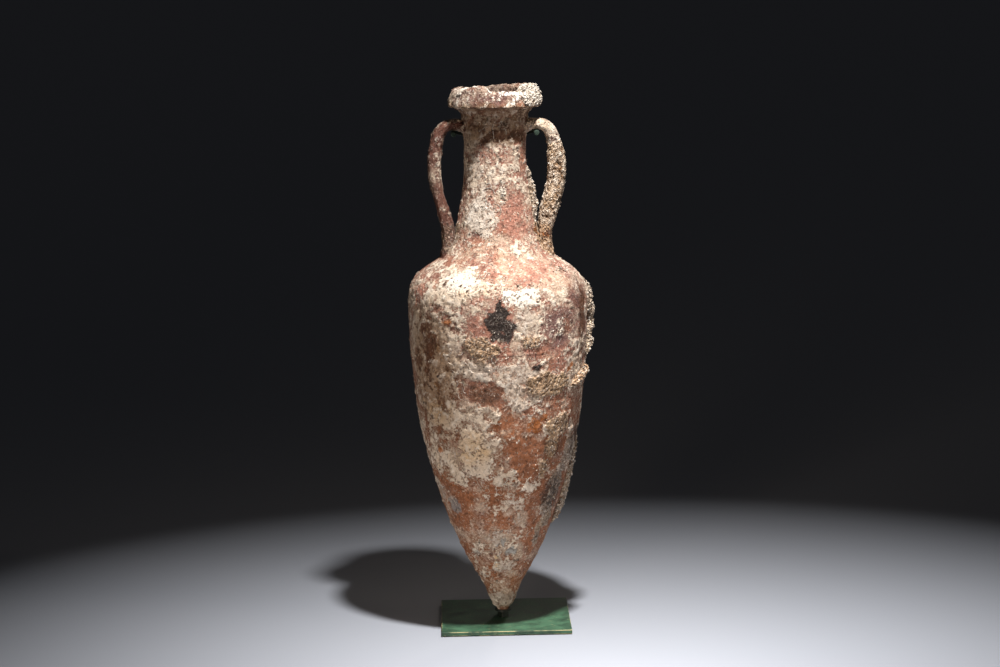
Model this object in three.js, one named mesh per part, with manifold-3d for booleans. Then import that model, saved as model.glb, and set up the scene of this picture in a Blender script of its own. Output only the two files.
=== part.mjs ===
import * as THREE from 'three';
import { mergeVertices } from 'three/addons/utils/BufferGeometryUtils.js';
import Module from 'manifold-3d';

// A clay transport amphora with a pointed toe, two strap handles and a collar rim, held upright by
// a small welded steel stand. Millimetres, +Z up, +X to the right of someone who faces the front,
// and -Y towards them. The origin is on the floor, under the toe.

// Clay jar, heights measured up from the tip of its toe
const toeTipRadius = 8.7;
const bellyRadius = 140;
const bellyHeight = 480;
const shoulderRise = 116;
const neckFootRadius = 66.5;
const neckLength = 188;
const neckWaistRadius = 48;
const neckTopRadius = 53;
const clayWall = 10;

// Where the separately thrown parts of the jar meet
const toeLength = 34;
const spigotRadius = 12;
const spigotLength = 12;
const girthSeamHeight = 424;
const lapLength = 6;

// Collar rim, sizes above the top of the neck
const rimUnderside = 11.5;
const rimFaceHeight = 31.5;
const rimLowerRadius = 72.5;
const rimUpperRadius = 67;
const mouthRadius = 45;

// Strap handles
const handleReach = 105.5;
const handleThickness = 21.5;
const handleWidth = 38;
const archDrop = 16;
const handleRootRadius = 80;

// Sea crust grown on the right-hand side
const ridgeBelowBelly = 72;
const ridgeLength = 118;
const ridgeWidth = 26;
const ridgeProud = 11;
const knobBelowSeam = 58;
const knobHeight = 30;
const knobWidth = 30;
const knobProud = 10;
const neckCrustFoot = 8;
const neckCrustLength = 98;
const neckCrustWidth = 26;
const neckCrustProud = 9;
const rimCrustSpread = 78;
const rimCrustProud = 3.2;
const rimCrustOverlap = 3;
const stripFoot = 140;
const stripLength = 140;
const stripWidth = 44;
const stripProud = 8;
const handleCrustThickness = 4;
const crustRoot = 2.5;

// Steel stand
const feltThickness = 1;
const feltInset = 1.5;
const plateWidth = 203.2;
const plateDepth = 203.2;
const plateThickness = 6.35;
const plateChamfer = 0.6;
const plateSetBack = 11;
const plateOffset = 4;
const postSize = 12.7;
const postHeight = 9;
const postTurnDegrees = 35;
const weldLeg = 2.6;
const saucerRadius = 12.6;
const saucerFootRadius = 9;
const saucerFloor = 3.6;
const saucerRise = 4.4;
const padRadius = 9.4;
const padThickness = 0.9;
const spineRadius = 4.75;
const spineClearance = 4;
const spineFootSetBack = 30;
const yokeRadius = 3.175;
const yokeDip = 30;
const yokeBendSetBack = 44;
const sleeveWall = 1.1;
const sleeveLength = 30;
const armPast = 5;
const weldCollarWall = 2;
const weldCollarHeight = 6;

// Clearances and fineness
const seatGap = 0.3;
const roundSides = 36;
const rodSides = 10;
const sectionSides = 12;
const smallSides = 20;
const squareSides = 4;
const spineSteps = 48;
const yokeSteps = 34;

// Shares of the way from the toe's tip to the belly: height, radius
const lowerShare = [
  [0, 0], [0.02, 0.037], [0.0625, 0.112], [0.125, 0.244], [0.1875, 0.37], [0.25, 0.476],
  [0.3125, 0.571], [0.375, 0.652], [0.4375, 0.72], [0.5, 0.78], [0.5625, 0.835], [0.625, 0.885],
  [0.6875, 0.919], [0.75, 0.945], [0.8125, 0.968], [0.875, 0.986], [0.9375, 0.996], [1, 1],
];
// Shares of the way from the belly up to the neck's foot: height, loss of radius
const shoulderShare = [
  [0.12, 0.003], [0.217, 0.012], [0.3, 0.034], [0.38, 0.077], [0.45, 0.142], [0.51, 0.226],
  [0.565, 0.335], [0.62, 0.46], [0.675, 0.59], [0.74, 0.718], [0.82, 0.835], [0.91, 0.93],
];
// Shares along the neck: height, how much of the foot's flare is left, how much of the top's flare
const neckShare = [
  [0, 1, 0], [0.08, 0.83, 0], [0.17, 0.64, 0], [0.26, 0.44, 0], [0.36, 0.24, 0], [0.5, 0.09, 0],
  [0.66, 0.01, 0.02], [0.8, 0, 0.2], [0.92, 0, 0.62], [1, 0, 1],
];
// Handle centre line: share out from the neck's waist to the reach, share up from root to arch
const handleShare = [
  [-0.17, 0.97], [0.1, 0.994], [0.34, 1], [0.53, 0.994], [0.69, 0.971], [0.82, 0.927],
  [0.91, 0.867], [0.965, 0.8], [0.99, 0.72], [1, 0.62], [0.96, 0.53], [0.9, 0.465],
  [0.83, 0.4], [0.71, 0.305], [0.6, 0.205], [0.55, 0.11], [0.56, 0.02], [0.62, -0.08],
];
// Shares of the strap's thickness and width at those same places
const strapShare = [
  [1.1, 1.3], [0.92, 1.1], [0.82, 1], [0.84, 0.98], [0.9, 0.97], [0.96, 0.96],
  [1, 0.96], [1, 0.96], [1, 0.96], [1, 0.96], [0.98, 0.96], [0.96, 0.96],
  [0.94, 0.97], [0.94, 1], [0.98, 1.06], [1.05, 1.18], [1.15, 1.35], [1.25, 1.5],
];
// How square the strap's section is, from 1 for an oval down to 0 for a block
const strapSquareShare = 0.7;
// Rim top round the mouth from the right-hand side, anticlockwise: share of the face's height
const rimTopShare = [
  0.02, 0.03, 0.03, 0.0, -0.04, -0.2, -0.1, -0.04, -0.1, -0.06, 0.0, 0.12, -0.06, -0.15, -0.13, -0.02,
];
// Crust rows, lowest first: degrees round from the right-hand side, share up the run, share of the
// width, share of the proud height
const ridgeShare = [
  [-9, 0, 0.35, 0.2], [-7, 0.06, 0.8, 0.6], [-4, 0.16, 0.9, 0.85], [-3, 0.25, 0.7, 0.6],
  [-1, 0.36, 1.1, 0.95],
  [0, 0.47, 0.9, 0.8], [-1, 0.58, 1.2, 1.05], [-2, 0.7, 0.9, 0.7], [0, 0.8, 0.9, 0.85],
  [1, 0.9, 0.7, 0.6], [2, 1, 0.3, 0.2],
];
const knobShare = [
  [-33, 0, 0.4, 0.2], [-30, 0.2, 0.9, 0.75], [-25, 0.45, 1.2, 1], [-20, 0.7, 1.1, 1.05],
  [-16, 0.88, 0.7, 0.7], [-14, 1, 0.3, 0.2],
];
const neckCrustShare = [
  [-12, 0, 0.7, 0.2], [-9, 0.1, 1.2, 0.6], [-5, 0.24, 1.2, 0.8], [0, 0.38, 1, 1], [1, 0.5, 0.9, 0.9],
  [0, 0.62, 0.8, 1.05], [-2, 0.74, 0.7, 0.7], [-1, 0.86, 0.6, 0.6], [0, 0.94, 0.5, 0.4],
  [1, 1, 0.25, 0.2],
];
const rimCrustShare = [
  [-26, 0, 0.85, 0.3], [-27, 0.14, 1, 0.9], [-29, 0.38, 1.05, 1.1], [-28, 0.62, 1, 1],
  [-25, 0.84, 0.9, 1.05], [-22, 1, 0.7, 0.5],
];
const stripShare = [
  [-8, 0, 0.3, 0.2], [-6, 0.08, 0.7, 0.8], [-5, 0.22, 0.9, 1.05], [-4, 0.38, 1.05, 0.95],
  [-4, 0.54, 0.95, 0.85], [-3, 0.7, 0.85, 0.75], [-3, 0.86, 0.6, 0.5], [-2, 1, 0.3, 0.15],
];
// Across a narrow and a broad crust: share of the half width, share of the proud height
const narrowShare = [[-1, 0], [-0.75, 0.6], [-0.3, 0.95], [0.1, 1], [0.5, 0.85], [0.8, 0.5], [1, 0]];
const broadShare = [
  [-1, 0], [-0.9, 0.65], [-0.62, 1], [-0.34, 0.8], [-0.05, 1.05], [0.25, 0.85], [0.55, 1.1],
  [0.85, 0.8], [1, 0],
];
// Strap places that the handle's crust covers, with its thickness share at each
const handleCrustShare = [
  [5, 0.35], [6, 0.8], [7, 1], [8, 0.9], [9, 1], [10, 0.95],
  [11, 1.1], [12, 1.15], [13, 1.15], [14, 1.1], [15, 0.6],
];
// Yoke from the arm's bend to the spine: share inwards, share of the set-back left, share of the dip
const yokeShare = [[0.08, 0.15, 0.04], [0.25, 0.5, 0.17], [0.5, 0.8, 0.45], [0.78, 0.97, 0.85]];

// Worked out from the sizes above
const neckFootHeight = bellyHeight + shoulderRise;
const neckTopHeight = neckFootHeight + neckLength;
const ridgeFoot = bellyHeight - ridgeBelowBelly;
const knobFoot = girthSeamHeight - knobBelowSeam;
const plateTop = feltThickness + plateThickness;
const saucerHeight = plateTop + postHeight;
const padHeight = saucerHeight + saucerFloor;
const toeHeight = padHeight + padThickness;
const archHeight = neckTopHeight - archDrop;
const strapHalf = handleThickness / 2;
const sleeveRadius = yokeRadius + seatGap + sleeveWall;

const wasm = await Module();
wasm.setup();

// Bare closed mesh of a geometry: only places, with shared corners joined
function bareMesh(geometry) {
  const bare = geometry.clone();
  bare.deleteAttribute('normal');
  bare.deleteAttribute('uv');
  return mergeVertices(bare);
}

function solidOf(geometry) {
  const bare = bareMesh(geometry);
  const vertProperties = Float32Array.from(bare.attributes.position.array);
  const triVerts = Uint32Array.from(bare.index.array);
  return new wasm.Manifold(new wasm.Mesh({ numProp: 3, vertProperties, triVerts }));
}

function geometryOf(solid) {
  const mesh = solid.getMesh();
  const geometry = new THREE.BufferGeometry();
  geometry.setAttribute('position', new THREE.BufferAttribute(mesh.vertProperties, 3));
  geometry.setIndex(new THREE.BufferAttribute(mesh.triVerts, 1));
  return geometry;
}

// A profile of (radius, height) points turned about the upright axis
function turned(points, sides = roundSides) {
  const geometry = new THREE.LatheGeometry(points, sides);
  geometry.rotateX(Math.PI / 2);
  return bareMesh(geometry);
}

function closedProfile(points) {
  return [...points, points[0].clone()];
}

function place(radius, height) {
  return new THREE.Vector2(radius, height);
}

// Skin through rings that all have the same number of points, closed by a fan at each end
function lofted(rings) {
  const corners = [];
  const faces = [];
  const around = rings[0].length;
  rings.forEach((ring) => ring.forEach((point) => corners.push(point.x, point.y, point.z)));
  for (let i = 0; i + 1 < rings.length; i += 1) {
    for (let k = 0; k < around; k += 1) {
      const a = i * around + k;
      const b = i * around + ((k + 1) % around);
      faces.push(a, b, a + around, b, b + around, a + around);
    }
  }
  const last = (rings.length - 1) * around;
  for (let k = 1; k + 1 < around; k += 1) {
    faces.push(0, k + 1, k);
    faces.push(last, last + k, last + k + 1);
  }
  const geometry = new THREE.BufferGeometry();
  geometry.setAttribute('position', new THREE.Float32BufferAttribute(corners, 3));
  geometry.setIndex(faces);
  return geometry;
}

// Outside of the jar from the tip of the toe to the top of the neck, as (radius, height) points
function jarOutline() {
  const points = lowerShare.map(([up, out]) => (
    place(toeTipRadius + (bellyRadius - toeTipRadius) * out, bellyHeight * up)));
  shoulderShare.forEach(([up, lost]) => {
    const radius = bellyRadius - (bellyRadius - neckFootRadius) * lost;
    points.push(place(radius, bellyHeight + shoulderRise * up));
  });
  neckShare.forEach(([up, foot, top]) => {
    const flare = (neckFootRadius - neckWaistRadius) * foot + (neckTopRadius - neckWaistRadius) * top;
    points.push(place(neckWaistRadius + flare, neckFootHeight + neckLength * up));
  });
  return points;
}

// The same line moved square to itself, inwards for a positive distance
function movedLine(line, distance) {
  return line.map((point, i) => {
    const before = line[Math.max(i - 1, 0)];
    const after = line[Math.min(i + 1, line.length - 1)];
    const along = after.clone().sub(before).normalize();
    return place(point.x - along.y * distance, point.y + along.x * distance);
  });
}

function radiusOn(line, height) {
  const last = line.length - 1;
  if (height <= line[0].y) {
    return line[0].x;
  }
  if (height >= line[last].y) {
    return line[last].x;
  }
  const i = line.findIndex((point) => point.y > height);
  const share = (height - line[i - 1].y) / (line[i].y - line[i - 1].y);
  return line[i - 1].x + (line[i].x - line[i - 1].x) * share;
}

function stretchOf(line, from, to) {
  const between = line.filter((point) => point.y > from && point.y < to);
  return [place(radiusOn(line, from), from), ...between, place(radiusOn(line, to), to)];
}

const outerLine = jarOutline();
const innerLine = movedLine(outerLine, clayWall);
const guardLine = movedLine(outerLine, -seatGap);
const shoulderStart = lowerShare.length - 1;

function heightOnShoulder(radius) {
  const i = outerLine.findIndex((point, k) => k > shoulderStart && point.x <= radius);
  if (i < 0) {
    return neckFootHeight;
  }
  const share = (outerLine[i - 1].x - radius) / (outerLine[i - 1].x - outerLine[i].x);
  return outerLine[i - 1].y + (outerLine[i].y - outerLine[i - 1].y) * share;
}

// Middle of the wall at a seam, where the lower part's tongue stands inside the upper part
function lapRadius(height) {
  return (radiusOn(outerLine, height) + radiusOn(innerLine, height)) / 2;
}

function tongue(height) {
  const top = height + lapLength;
  const radius = lapRadius(height);
  return [place(radius, height), place(radius, top), place(radiusOn(innerLine, top), top)];
}

function rebate(height) {
  const radius = lapRadius(height) + seatGap;
  const top = height + lapLength + seatGap;
  return [place(radiusOn(innerLine, top), top), place(radius, top), place(radius, height)];
}

// Inside line on the way down, with every second point, as the inside needs fewer
function insideDown(from, to) {
  const line = stretchOf(innerLine, to, from).reverse();
  return line.slice(1, -1).filter((point, i) => i % 2 === 0);
}

function shell(from, to) {
  const outside = stretchOf(outerLine, from, to);
  const foot = from + lapLength + seatGap;
  const inside = insideDown(to + lapLength, foot);
  return turned(closedProfile([...outside, ...tongue(to), ...inside, ...rebate(from)]));
}

function toePiece() {
  const outside = stretchOf(outerLine, 0, toeLength);
  const top = toeLength + spigotLength;
  const spigot = [place(spigotRadius, toeLength), place(spigotRadius, top)];
  return turned([place(0, 0), ...outside, ...spigot, place(0, top)]);
}

function lowerBody() {
  const socket = spigotRadius + seatGap;
  const floor = toeLength + spigotLength + seatGap;
  const outside = stretchOf(outerLine, toeLength, girthSeamHeight);
  const shelf = place(radiusOn(innerLine, floor), floor);
  const bottom = [shelf, place(socket, floor), place(socket, toeLength)];
  const inside = insideDown(girthSeamHeight + lapLength, floor);
  return turned(closedProfile([...outside, ...tongue(girthSeamHeight), ...inside, ...bottom]));
}

// Outside of the collar rim: a cove under it, the leaning face and the rounded lip
function rimOutside() {
  const edge = neckTopHeight + rimUnderside;
  const overhang = rimLowerRadius - neckTopRadius;
  const lean = rimLowerRadius - rimUpperRadius;
  const faceShare = [[0.08, 0], [0.3, 0.2], [0.6, 0.6], [0.84, 1], [0.95, 1.6]];
  const coveShare = [[0.17, 0.5], [0.42, 0.83], [0.96, 0.97]];
  const cove = coveShare.map(([out, up]) => (
    place(neckTopRadius + overhang * out, neckTopHeight + rimUnderside * up)));
  const face = faceShare.map(([up, inwards]) => (
    place(rimLowerRadius - lean * inwards, edge + rimFaceHeight * up)));
  return [place(neckTopRadius, neckTopHeight), ...cove, ...face];
}

function rimInside() {
  const edge = neckTopHeight + rimUnderside;
  const lipWidth = rimUpperRadius - mouthRadius;
  const lipShare = [[0.62, 1], [0.3, 0.97], [0.08, 0.86]];
  return [
    ...lipShare.map(([out, up]) => place(mouthRadius + lipWidth * out, edge + rimFaceHeight * up)),
    place(mouthRadius, edge + rimFaceHeight / 2),
  ];
}

function rimTopAt(x, y) {
  const turn = (Math.atan2(y, x) / (2 * Math.PI) + 1) % 1;
  const at = turn * rimTopShare.length;
  const i = Math.floor(at) % rimTopShare.length;
  const next = (i + 1) % rimTopShare.length;
  const ease = (1 - Math.cos((at - Math.floor(at)) * Math.PI)) / 2;
  return rimTopShare[i] + (rimTopShare[next] - rimTopShare[i]) * ease;
}

// The worn lip is higher and lower round the mouth, so the face is stretched above its lower edge
function wornTop(geometry) {
  const edge = neckTopHeight + rimUnderside;
  const points = geometry.attributes.position;
  for (let i = 0; i < points.count; i += 1) {
    const above = points.getZ(i) - edge;
    if (above > 0) {
      points.setZ(i, edge + above * (1 + rimTopAt(points.getX(i), points.getY(i))));
    }
  }
  return geometry;
}

function rimPiece() {
  return wornTop(turned(closedProfile([...rimOutside(), ...rimInside(), ...rebate(neckTopHeight)])));
}

// Solid shapes a clearance larger than the clay, which cut what is seated on it
function jarGuard() {
  const line = guardLine.filter((point) => point.x > 0);
  const top = neckTopHeight + rimUnderside;
  const low = line[0].y - seatGap;
  const foot = [place(0, low), place(line[0].x, low)];
  return solidOf(turned([...foot, ...line, place(neckTopRadius, top), place(0, top)]));
}

function rimGuard() {
  const line = movedLine([...rimOutside(), ...rimInside()], -seatGap);
  const low = neckTopHeight - lapLength;
  const foot = [place(0, low), place(neckTopRadius + seatGap, low)];
  return solidOf(wornTop(turned([...foot, ...line, place(0, line.at(-1).y)])));
}

function handlePlaces() {
  const rootHeight = heightOnShoulder(handleRootRadius);
  const reach = handleReach - strapHalf - neckWaistRadius;
  const rise = archHeight - rootHeight;
  return handleShare.map(([out, up]) => (
    new THREE.Vector3(neckWaistRadius + reach * out, 0, rootHeight + rise * up)));
}

// Rounded strap section square to the centre line at place i, grown by the given amount
function strapRing(places, i, grown) {
  const before = places[Math.max(i - 1, 0)];
  const after = places[Math.min(i + 1, places.length - 1)];
  const along = after.clone().sub(before).normalize();
  const outward = new THREE.Vector3(-along.z, 0, along.x);
  const across = new THREE.Vector3(0, -1, 0);
  const [thickShare, wideShare] = strapShare[i];
  const halfThick = strapHalf * thickShare + grown;
  const halfWide = handleWidth / 2 * wideShare + grown;
  return Array.from({ length: sectionSides }, (corner, k) => {
    const turn = (k + 0.5) * 2 * Math.PI / sectionSides;
    const out = Math.sign(Math.cos(turn)) * Math.abs(Math.cos(turn)) ** strapSquareShare * halfThick;
    const side = Math.sign(Math.sin(turn)) * Math.abs(Math.sin(turn)) ** strapSquareShare * halfWide;
    return places[i].clone().addScaledVector(outward, out).addScaledVector(across, side);
  });
}

function strapSkin(grown) {
  const places = handlePlaces();
  return lofted(places.map((middle, i) => strapRing(places, i, grown)));
}

function handlePiece(guard) {
  return geometryOf(solidOf(strapSkin(0)).subtract(guard));
}

function cutBy(solid, guards) {
  return geometryOf(guards.reduce((rest, guard) => rest.subtract(guard), solid));
}

// Crust on the clay: each row is an arc that stands proud of the line and has its ends rooted under it
function crustCoat(line, table, acrossTable, size) {
  return solidOf(lofted(table.map(([degrees, up, wideShare, proudShare]) => {
    const height = size.foot + size.length * up;
    const radius = radiusOn(line, height);
    const middle = THREE.MathUtils.degToRad(degrees);
    const spread = size.width / 2 * wideShare / radius;
    const swell = size.proud * proudShare + crustRoot;
    return acrossTable.map(([along, share]) => {
      const turn = middle + spread * along;
      const out = radius - crustRoot + swell * share;
      return new THREE.Vector3(out * Math.cos(turn), out * Math.sin(turn), height);
    });
  })));
}

function ridgeCrust() {
  const size = { foot: ridgeFoot, length: ridgeLength, width: ridgeWidth, proud: ridgeProud };
  return crustCoat(outerLine, ridgeShare, narrowShare, size);
}

function knobCrust() {
  const size = { foot: knobFoot, length: knobHeight, width: knobWidth, proud: knobProud };
  return crustCoat(outerLine, knobShare, narrowShare, size);
}

function neckCrust() {
  const foot = neckFootHeight + neckCrustFoot;
  const size = { foot, length: neckCrustLength, width: neckCrustWidth, proud: neckCrustProud };
  return crustCoat(outerLine, neckCrustShare, narrowShare, size);
}

function stripCrust() {
  const size = { foot: stripFoot, length: stripLength, width: stripWidth, proud: stripProud };
  return crustCoat(outerLine, stripShare, narrowShare, size);
}

function rimCrust() {
  const foot = neckTopHeight + rimUnderside + rimCrustOverlap / 2;
  const length = rimFaceHeight + rimCrustOverlap / 2;
  const size = { foot, length, width: rimCrustSpread, proud: rimCrustProud };
  return crustCoat(rimOutside(), rimCrustShare, broadShare, size);
}

function handleCrust() {
  const places = handlePlaces();
  const rings = handleCrustShare.map(([i, share]) => (
    strapRing(places, i, seatGap + handleCrustThickness * share)));
  return solidOf(lofted(rings)).subtract(solidOf(strapSkin(seatGap)));
}

// Round bar along a smooth line through the given places
function bar(places, radius, steps) {
  const path = new THREE.CatmullRomCurve3(places);
  const section = new THREE.Shape();
  section.absarc(0, 0, radius, 0, 2 * Math.PI);
  const settings = { steps, bevelEnabled: false, extrudePath: path, curveSegments: rodSides / 2 };
  return bareMesh(new THREE.ExtrudeGeometry(section, settings));
}

function plateShape(width, depth, inset) {
  const x = width / 2 - inset;
  const y = depth / 2 - inset;
  const points = [place(-x, -y), place(x, -y), place(x, y), place(-x, y)];
  return new THREE.Shape(points);
}

function feltPiece() {
  const settings = { depth: feltThickness, bevelEnabled: false };
  return bareMesh(new THREE.ExtrudeGeometry(plateShape(plateWidth, plateDepth, feltInset), settings));
}

function platePiece() {
  const settings = {
    depth: plateThickness - 2 * plateChamfer,
    bevelThickness: plateChamfer,
    bevelSize: plateChamfer,
    bevelOffset: -plateChamfer,
    bevelSegments: 1,
  };
  const geometry = new THREE.ExtrudeGeometry(plateShape(plateWidth, plateDepth, 0), settings);
  geometry.translate(0, 0, plateChamfer);
  return bareMesh(geometry);
}

// Three-cornered weld bead round a bar; four sides make a square one
function weldBead(hole, sides) {
  return turned(closedProfile([place(hole + weldLeg, 0), place(hole, weldLeg), place(hole, 0)]), sides);
}

function saucerPiece() {
  const dish = padRadius + seatGap;
  return turned([
    place(0, 0),
    place(saucerFootRadius, 0),
    place(saucerRadius, saucerFloor / 2),
    place(saucerRadius, saucerRise),
    place(dish, saucerFloor),
    place(0, saucerFloor),
  ], smallSides);
}

function padPiece() {
  const edge = [place(padRadius, 0), place(padRadius, padThickness)];
  return turned([place(0, 0), ...edge, place(0, padThickness)], smallSides);
}

// The arms pass under the handles' arches, so their place follows from the straps
function armPlace() {
  const places = handlePlaces();
  const arch = places.reduce((best, point) => (point.z > best.z ? point : best));
  const strap = strapHalf * strapShare[places.indexOf(arch)][0];
  return place(arch.x, arch.z - strap - seatGap - sleeveRadius);
}

function spineSetBack(height) {
  return radiusOn(movedLine(outerLine, -(spineClearance + spineRadius)), height);
}

const arm = armPlace();
const yokeLow = arm.y - yokeDip;
const spineTop = yokeLow - yokeRadius - seatGap;
const yokeBack = spineSetBack(spineTop);
const armTip = handleWidth / 2 + armPast;

// The spine stands on the plate, then follows the back of the jar up to the neck
function spinePiece() {
  const straight = plateTop - toeHeight;
  const line = movedLine(outerLine, -(spineClearance + spineRadius));
  const clear = straight + spineFootSetBack;
  const start = line.findIndex((point) => point.x > spineFootSetBack && point.y > clear);
  const along = line.slice(start).filter((point) => point.y < spineTop - spineFootSetBack);
  const points = [
    new THREE.Vector3(0, spineFootSetBack, straight),
    new THREE.Vector3(0, spineFootSetBack, straight + spineFootSetBack / 2),
    ...along.map((point) => new THREE.Vector3(0, point.x, point.y)),
    new THREE.Vector3(0, yokeBack, spineTop - spineFootSetBack / 2),
    new THREE.Vector3(0, yokeBack, spineTop),
  ];
  return bar(points, spineRadius, spineSteps);
}

// The yoke goes from arm tip to arm tip, dipping behind the neck to the top of the spine
function yokePiece() {
  const tip = sleeveWall + 2 * seatGap - armTip;
  const bend = new THREE.Vector3(arm.x, yokeBendSetBack / 2, arm.y);
  const rest = yokeBack - bend.y;
  const side = yokeShare.map(([inwards, back, dip]) => (
    new THREE.Vector3(arm.x * (1 - inwards), bend.y + rest * back, arm.y - yokeDip * dip)));
  const right = [new THREE.Vector3(arm.x, tip, arm.y), new THREE.Vector3(arm.x, 0, arm.y), bend, ...side];
  const mirrored = right.map((point) => new THREE.Vector3(-point.x, point.y, point.z)).reverse();
  const points = [...right, new THREE.Vector3(0, yokeBack, yokeLow), ...mirrored];
  return bar(points, yokeRadius, yokeSteps);
}

// Soft sleeve on an arm: a blind tube with a rounded tip, made pointing up
function sleevePiece() {
  const bore = yokeRadius + seatGap;
  const full = sleeveLength;
  const boreEnd = full - sleeveWall - seatGap;
  return turned([
    place(0, boreEnd),
    place(bore, boreEnd),
    place(bore, 0),
    place(sleeveRadius, 0),
    place(sleeveRadius, full - sleeveWall),
    place(sleeveRadius - sleeveWall, full),
    place(0, full),
  ], smallSides);
}

function weldCollar() {
  const hole = spineRadius + seatGap;
  const outer = hole + weldCollarWall;
  return turned(closedProfile([
    place(outer, 0), place(outer, weldCollarHeight), place(hole, weldCollarHeight), place(hole, 0),
  ]), smallSides);
}

function piece(name, geometry, colour, roughness, metalness = 0) {
  const finished = geometry.toNonIndexed();
  finished.computeVertexNormals();
  const material = new THREE.MeshStandardMaterial({ color: colour, roughness, metalness });
  const mesh = new THREE.Mesh(finished, material);
  mesh.name = name;
  return mesh;
}

const clayRed = 0x9a5b4a;
const limeCream = 0xd9c9ac;
const crustCream = 0xe6dcc4;
const crustGrey = 0xa9a293;
const paintGreen = 0x2f5a43;
const darkGreen = 0x1f3a2c;
const feltBlack = 0x1c1c1a;
const leatherBrown = 0x4a3526;

function clayGroup() {
  const jar = jarGuard();
  const rim = rimGuard();
  const strap = solidOf(strapSkin(seatGap));
  const group = new THREE.Group();
  const right = handlePiece(jar);
  const left = piece('handle_left', right.clone(), limeCream, 0.9);
  left.rotation.z = Math.PI;
  group.add(
    piece('toe', toePiece(), clayRed, 0.9),
    piece('body_lower', lowerBody(), clayRed, 0.9),
    piece('body_upper', shell(girthSeamHeight, neckFootHeight), limeCream, 0.9),
    piece('neck', shell(neckFootHeight, neckTopHeight), limeCream, 0.9),
    piece('rim_collar', rimPiece(), limeCream, 0.9),
    left,
    piece('handle_right', right, limeCream, 0.9),
  );
  const coat = handleCrust();
  const coatGuard = solidOf(strapSkin(2 * seatGap + handleCrustThickness * 2));
  group.add(
    piece('crust_shoulder', cutBy(ridgeCrust(), [jar, strap]), crustCream, 1),
    piece('crust_knob', cutBy(knobCrust(), [jar]), crustCream, 1),
    piece('crust_neck', cutBy(neckCrust(), [jar, strap, coatGuard]), crustCream, 1),
    piece('crust_rim', cutBy(rimCrust(), [rim, jar]), crustCream, 1),
    piece('crust_handle', cutBy(coat, [jar]), crustCream, 1),
    piece('crust_lower', cutBy(stripCrust(), [jar]), crustGrey, 1),
  );
  group.position.z = toeHeight;
  return group;
}

function sleeve(name, side) {
  const mesh = piece(name, sleevePiece(), darkGreen, 0.5);
  mesh.rotation.x = Math.PI / 2;
  mesh.position.set(side * arm.x, sleeveLength - armTip, arm.y + toeHeight);
  return mesh;
}

function standGroup() {
  const group = new THREE.Group();
  const felt = piece('base_felt', feltPiece(), feltBlack, 1);
  const plate = piece('base_plate', platePiece(), paintGreen, 0.5, 0.3);
  felt.position.set(plateOffset, plateSetBack, 0);
  plate.position.set(plateOffset, plateSetBack, feltThickness);
  const squareBar = new THREE.BoxGeometry(postSize, postSize, postHeight);
  const post = piece('toe_post', squareBar, paintGreen, 0.5, 0.3);
  post.position.z = plateTop + postHeight / 2;
  post.rotation.z = THREE.MathUtils.degToRad(postTurnDegrees);
  const postBead = weldBead((postSize / 2 + seatGap) * Math.SQRT2, squareSides);
  const postWeld = piece('post_weld', postBead, paintGreen, 0.6, 0.3);
  postWeld.position.z = plateTop;
  postWeld.rotation.z = post.rotation.z + Math.PI / 4;
  const saucer = piece('toe_saucer', saucerPiece(), darkGreen, 0.5, 0.3);
  saucer.position.z = saucerHeight;
  const pad = piece('toe_pad', padPiece(), leatherBrown, 0.9);
  pad.position.z = padHeight;
  const spine = piece('spine_rod', spinePiece(), paintGreen, 0.5, 0.3);
  spine.position.z = toeHeight;
  const footBead = weldBead(spineRadius + seatGap, smallSides);
  const footWeld = piece('spine_foot_weld', footBead, paintGreen, 0.6, 0.3);
  footWeld.position.set(0, spineFootSetBack, plateTop);
  const yoke = piece('yoke_rod', yokePiece(), paintGreen, 0.5, 0.3);
  yoke.position.z = toeHeight;
  const yokeWeld = piece('yoke_weld', weldCollar(), paintGreen, 0.6, 0.3);
  yokeWeld.position.set(0, yokeBack, toeHeight + spineTop - weldCollarHeight);
  group.add(felt, plate, post, postWeld, saucer, pad, spine, footWeld, yoke, yokeWeld);
  group.add(sleeve('sleeve_left', -1), sleeve('sleeve_right', 1));
  return group;
}

const amphora = new THREE.Group();
amphora.add(clayGroup(), standGroup());

export default amphora;
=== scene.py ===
import math
import random

import bmesh
import bpy
import numpy as np
from mathutils import Matrix, Vector


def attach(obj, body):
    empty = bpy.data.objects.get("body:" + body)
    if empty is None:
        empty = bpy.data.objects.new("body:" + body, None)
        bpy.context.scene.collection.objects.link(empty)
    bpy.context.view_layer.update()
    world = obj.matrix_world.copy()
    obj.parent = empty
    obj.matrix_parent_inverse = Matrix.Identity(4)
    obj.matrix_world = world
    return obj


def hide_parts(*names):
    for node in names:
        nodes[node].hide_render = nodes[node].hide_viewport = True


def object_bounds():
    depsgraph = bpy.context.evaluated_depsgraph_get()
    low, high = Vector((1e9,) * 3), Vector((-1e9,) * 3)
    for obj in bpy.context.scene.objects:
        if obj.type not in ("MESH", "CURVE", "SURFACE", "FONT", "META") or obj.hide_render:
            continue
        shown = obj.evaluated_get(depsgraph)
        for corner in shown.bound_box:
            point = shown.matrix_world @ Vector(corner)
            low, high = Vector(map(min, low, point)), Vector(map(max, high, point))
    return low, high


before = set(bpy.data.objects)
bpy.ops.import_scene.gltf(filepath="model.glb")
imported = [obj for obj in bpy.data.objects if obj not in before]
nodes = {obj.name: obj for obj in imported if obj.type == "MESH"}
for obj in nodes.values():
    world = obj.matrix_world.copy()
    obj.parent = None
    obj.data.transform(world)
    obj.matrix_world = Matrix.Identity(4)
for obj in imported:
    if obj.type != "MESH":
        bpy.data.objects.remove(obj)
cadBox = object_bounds()
mm = 0.001
margin, onLine, tiniest = 0.1, 0.05, 1e-6    # mm: kept clear of a limit, taken as on a line, taken as nothing

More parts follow.
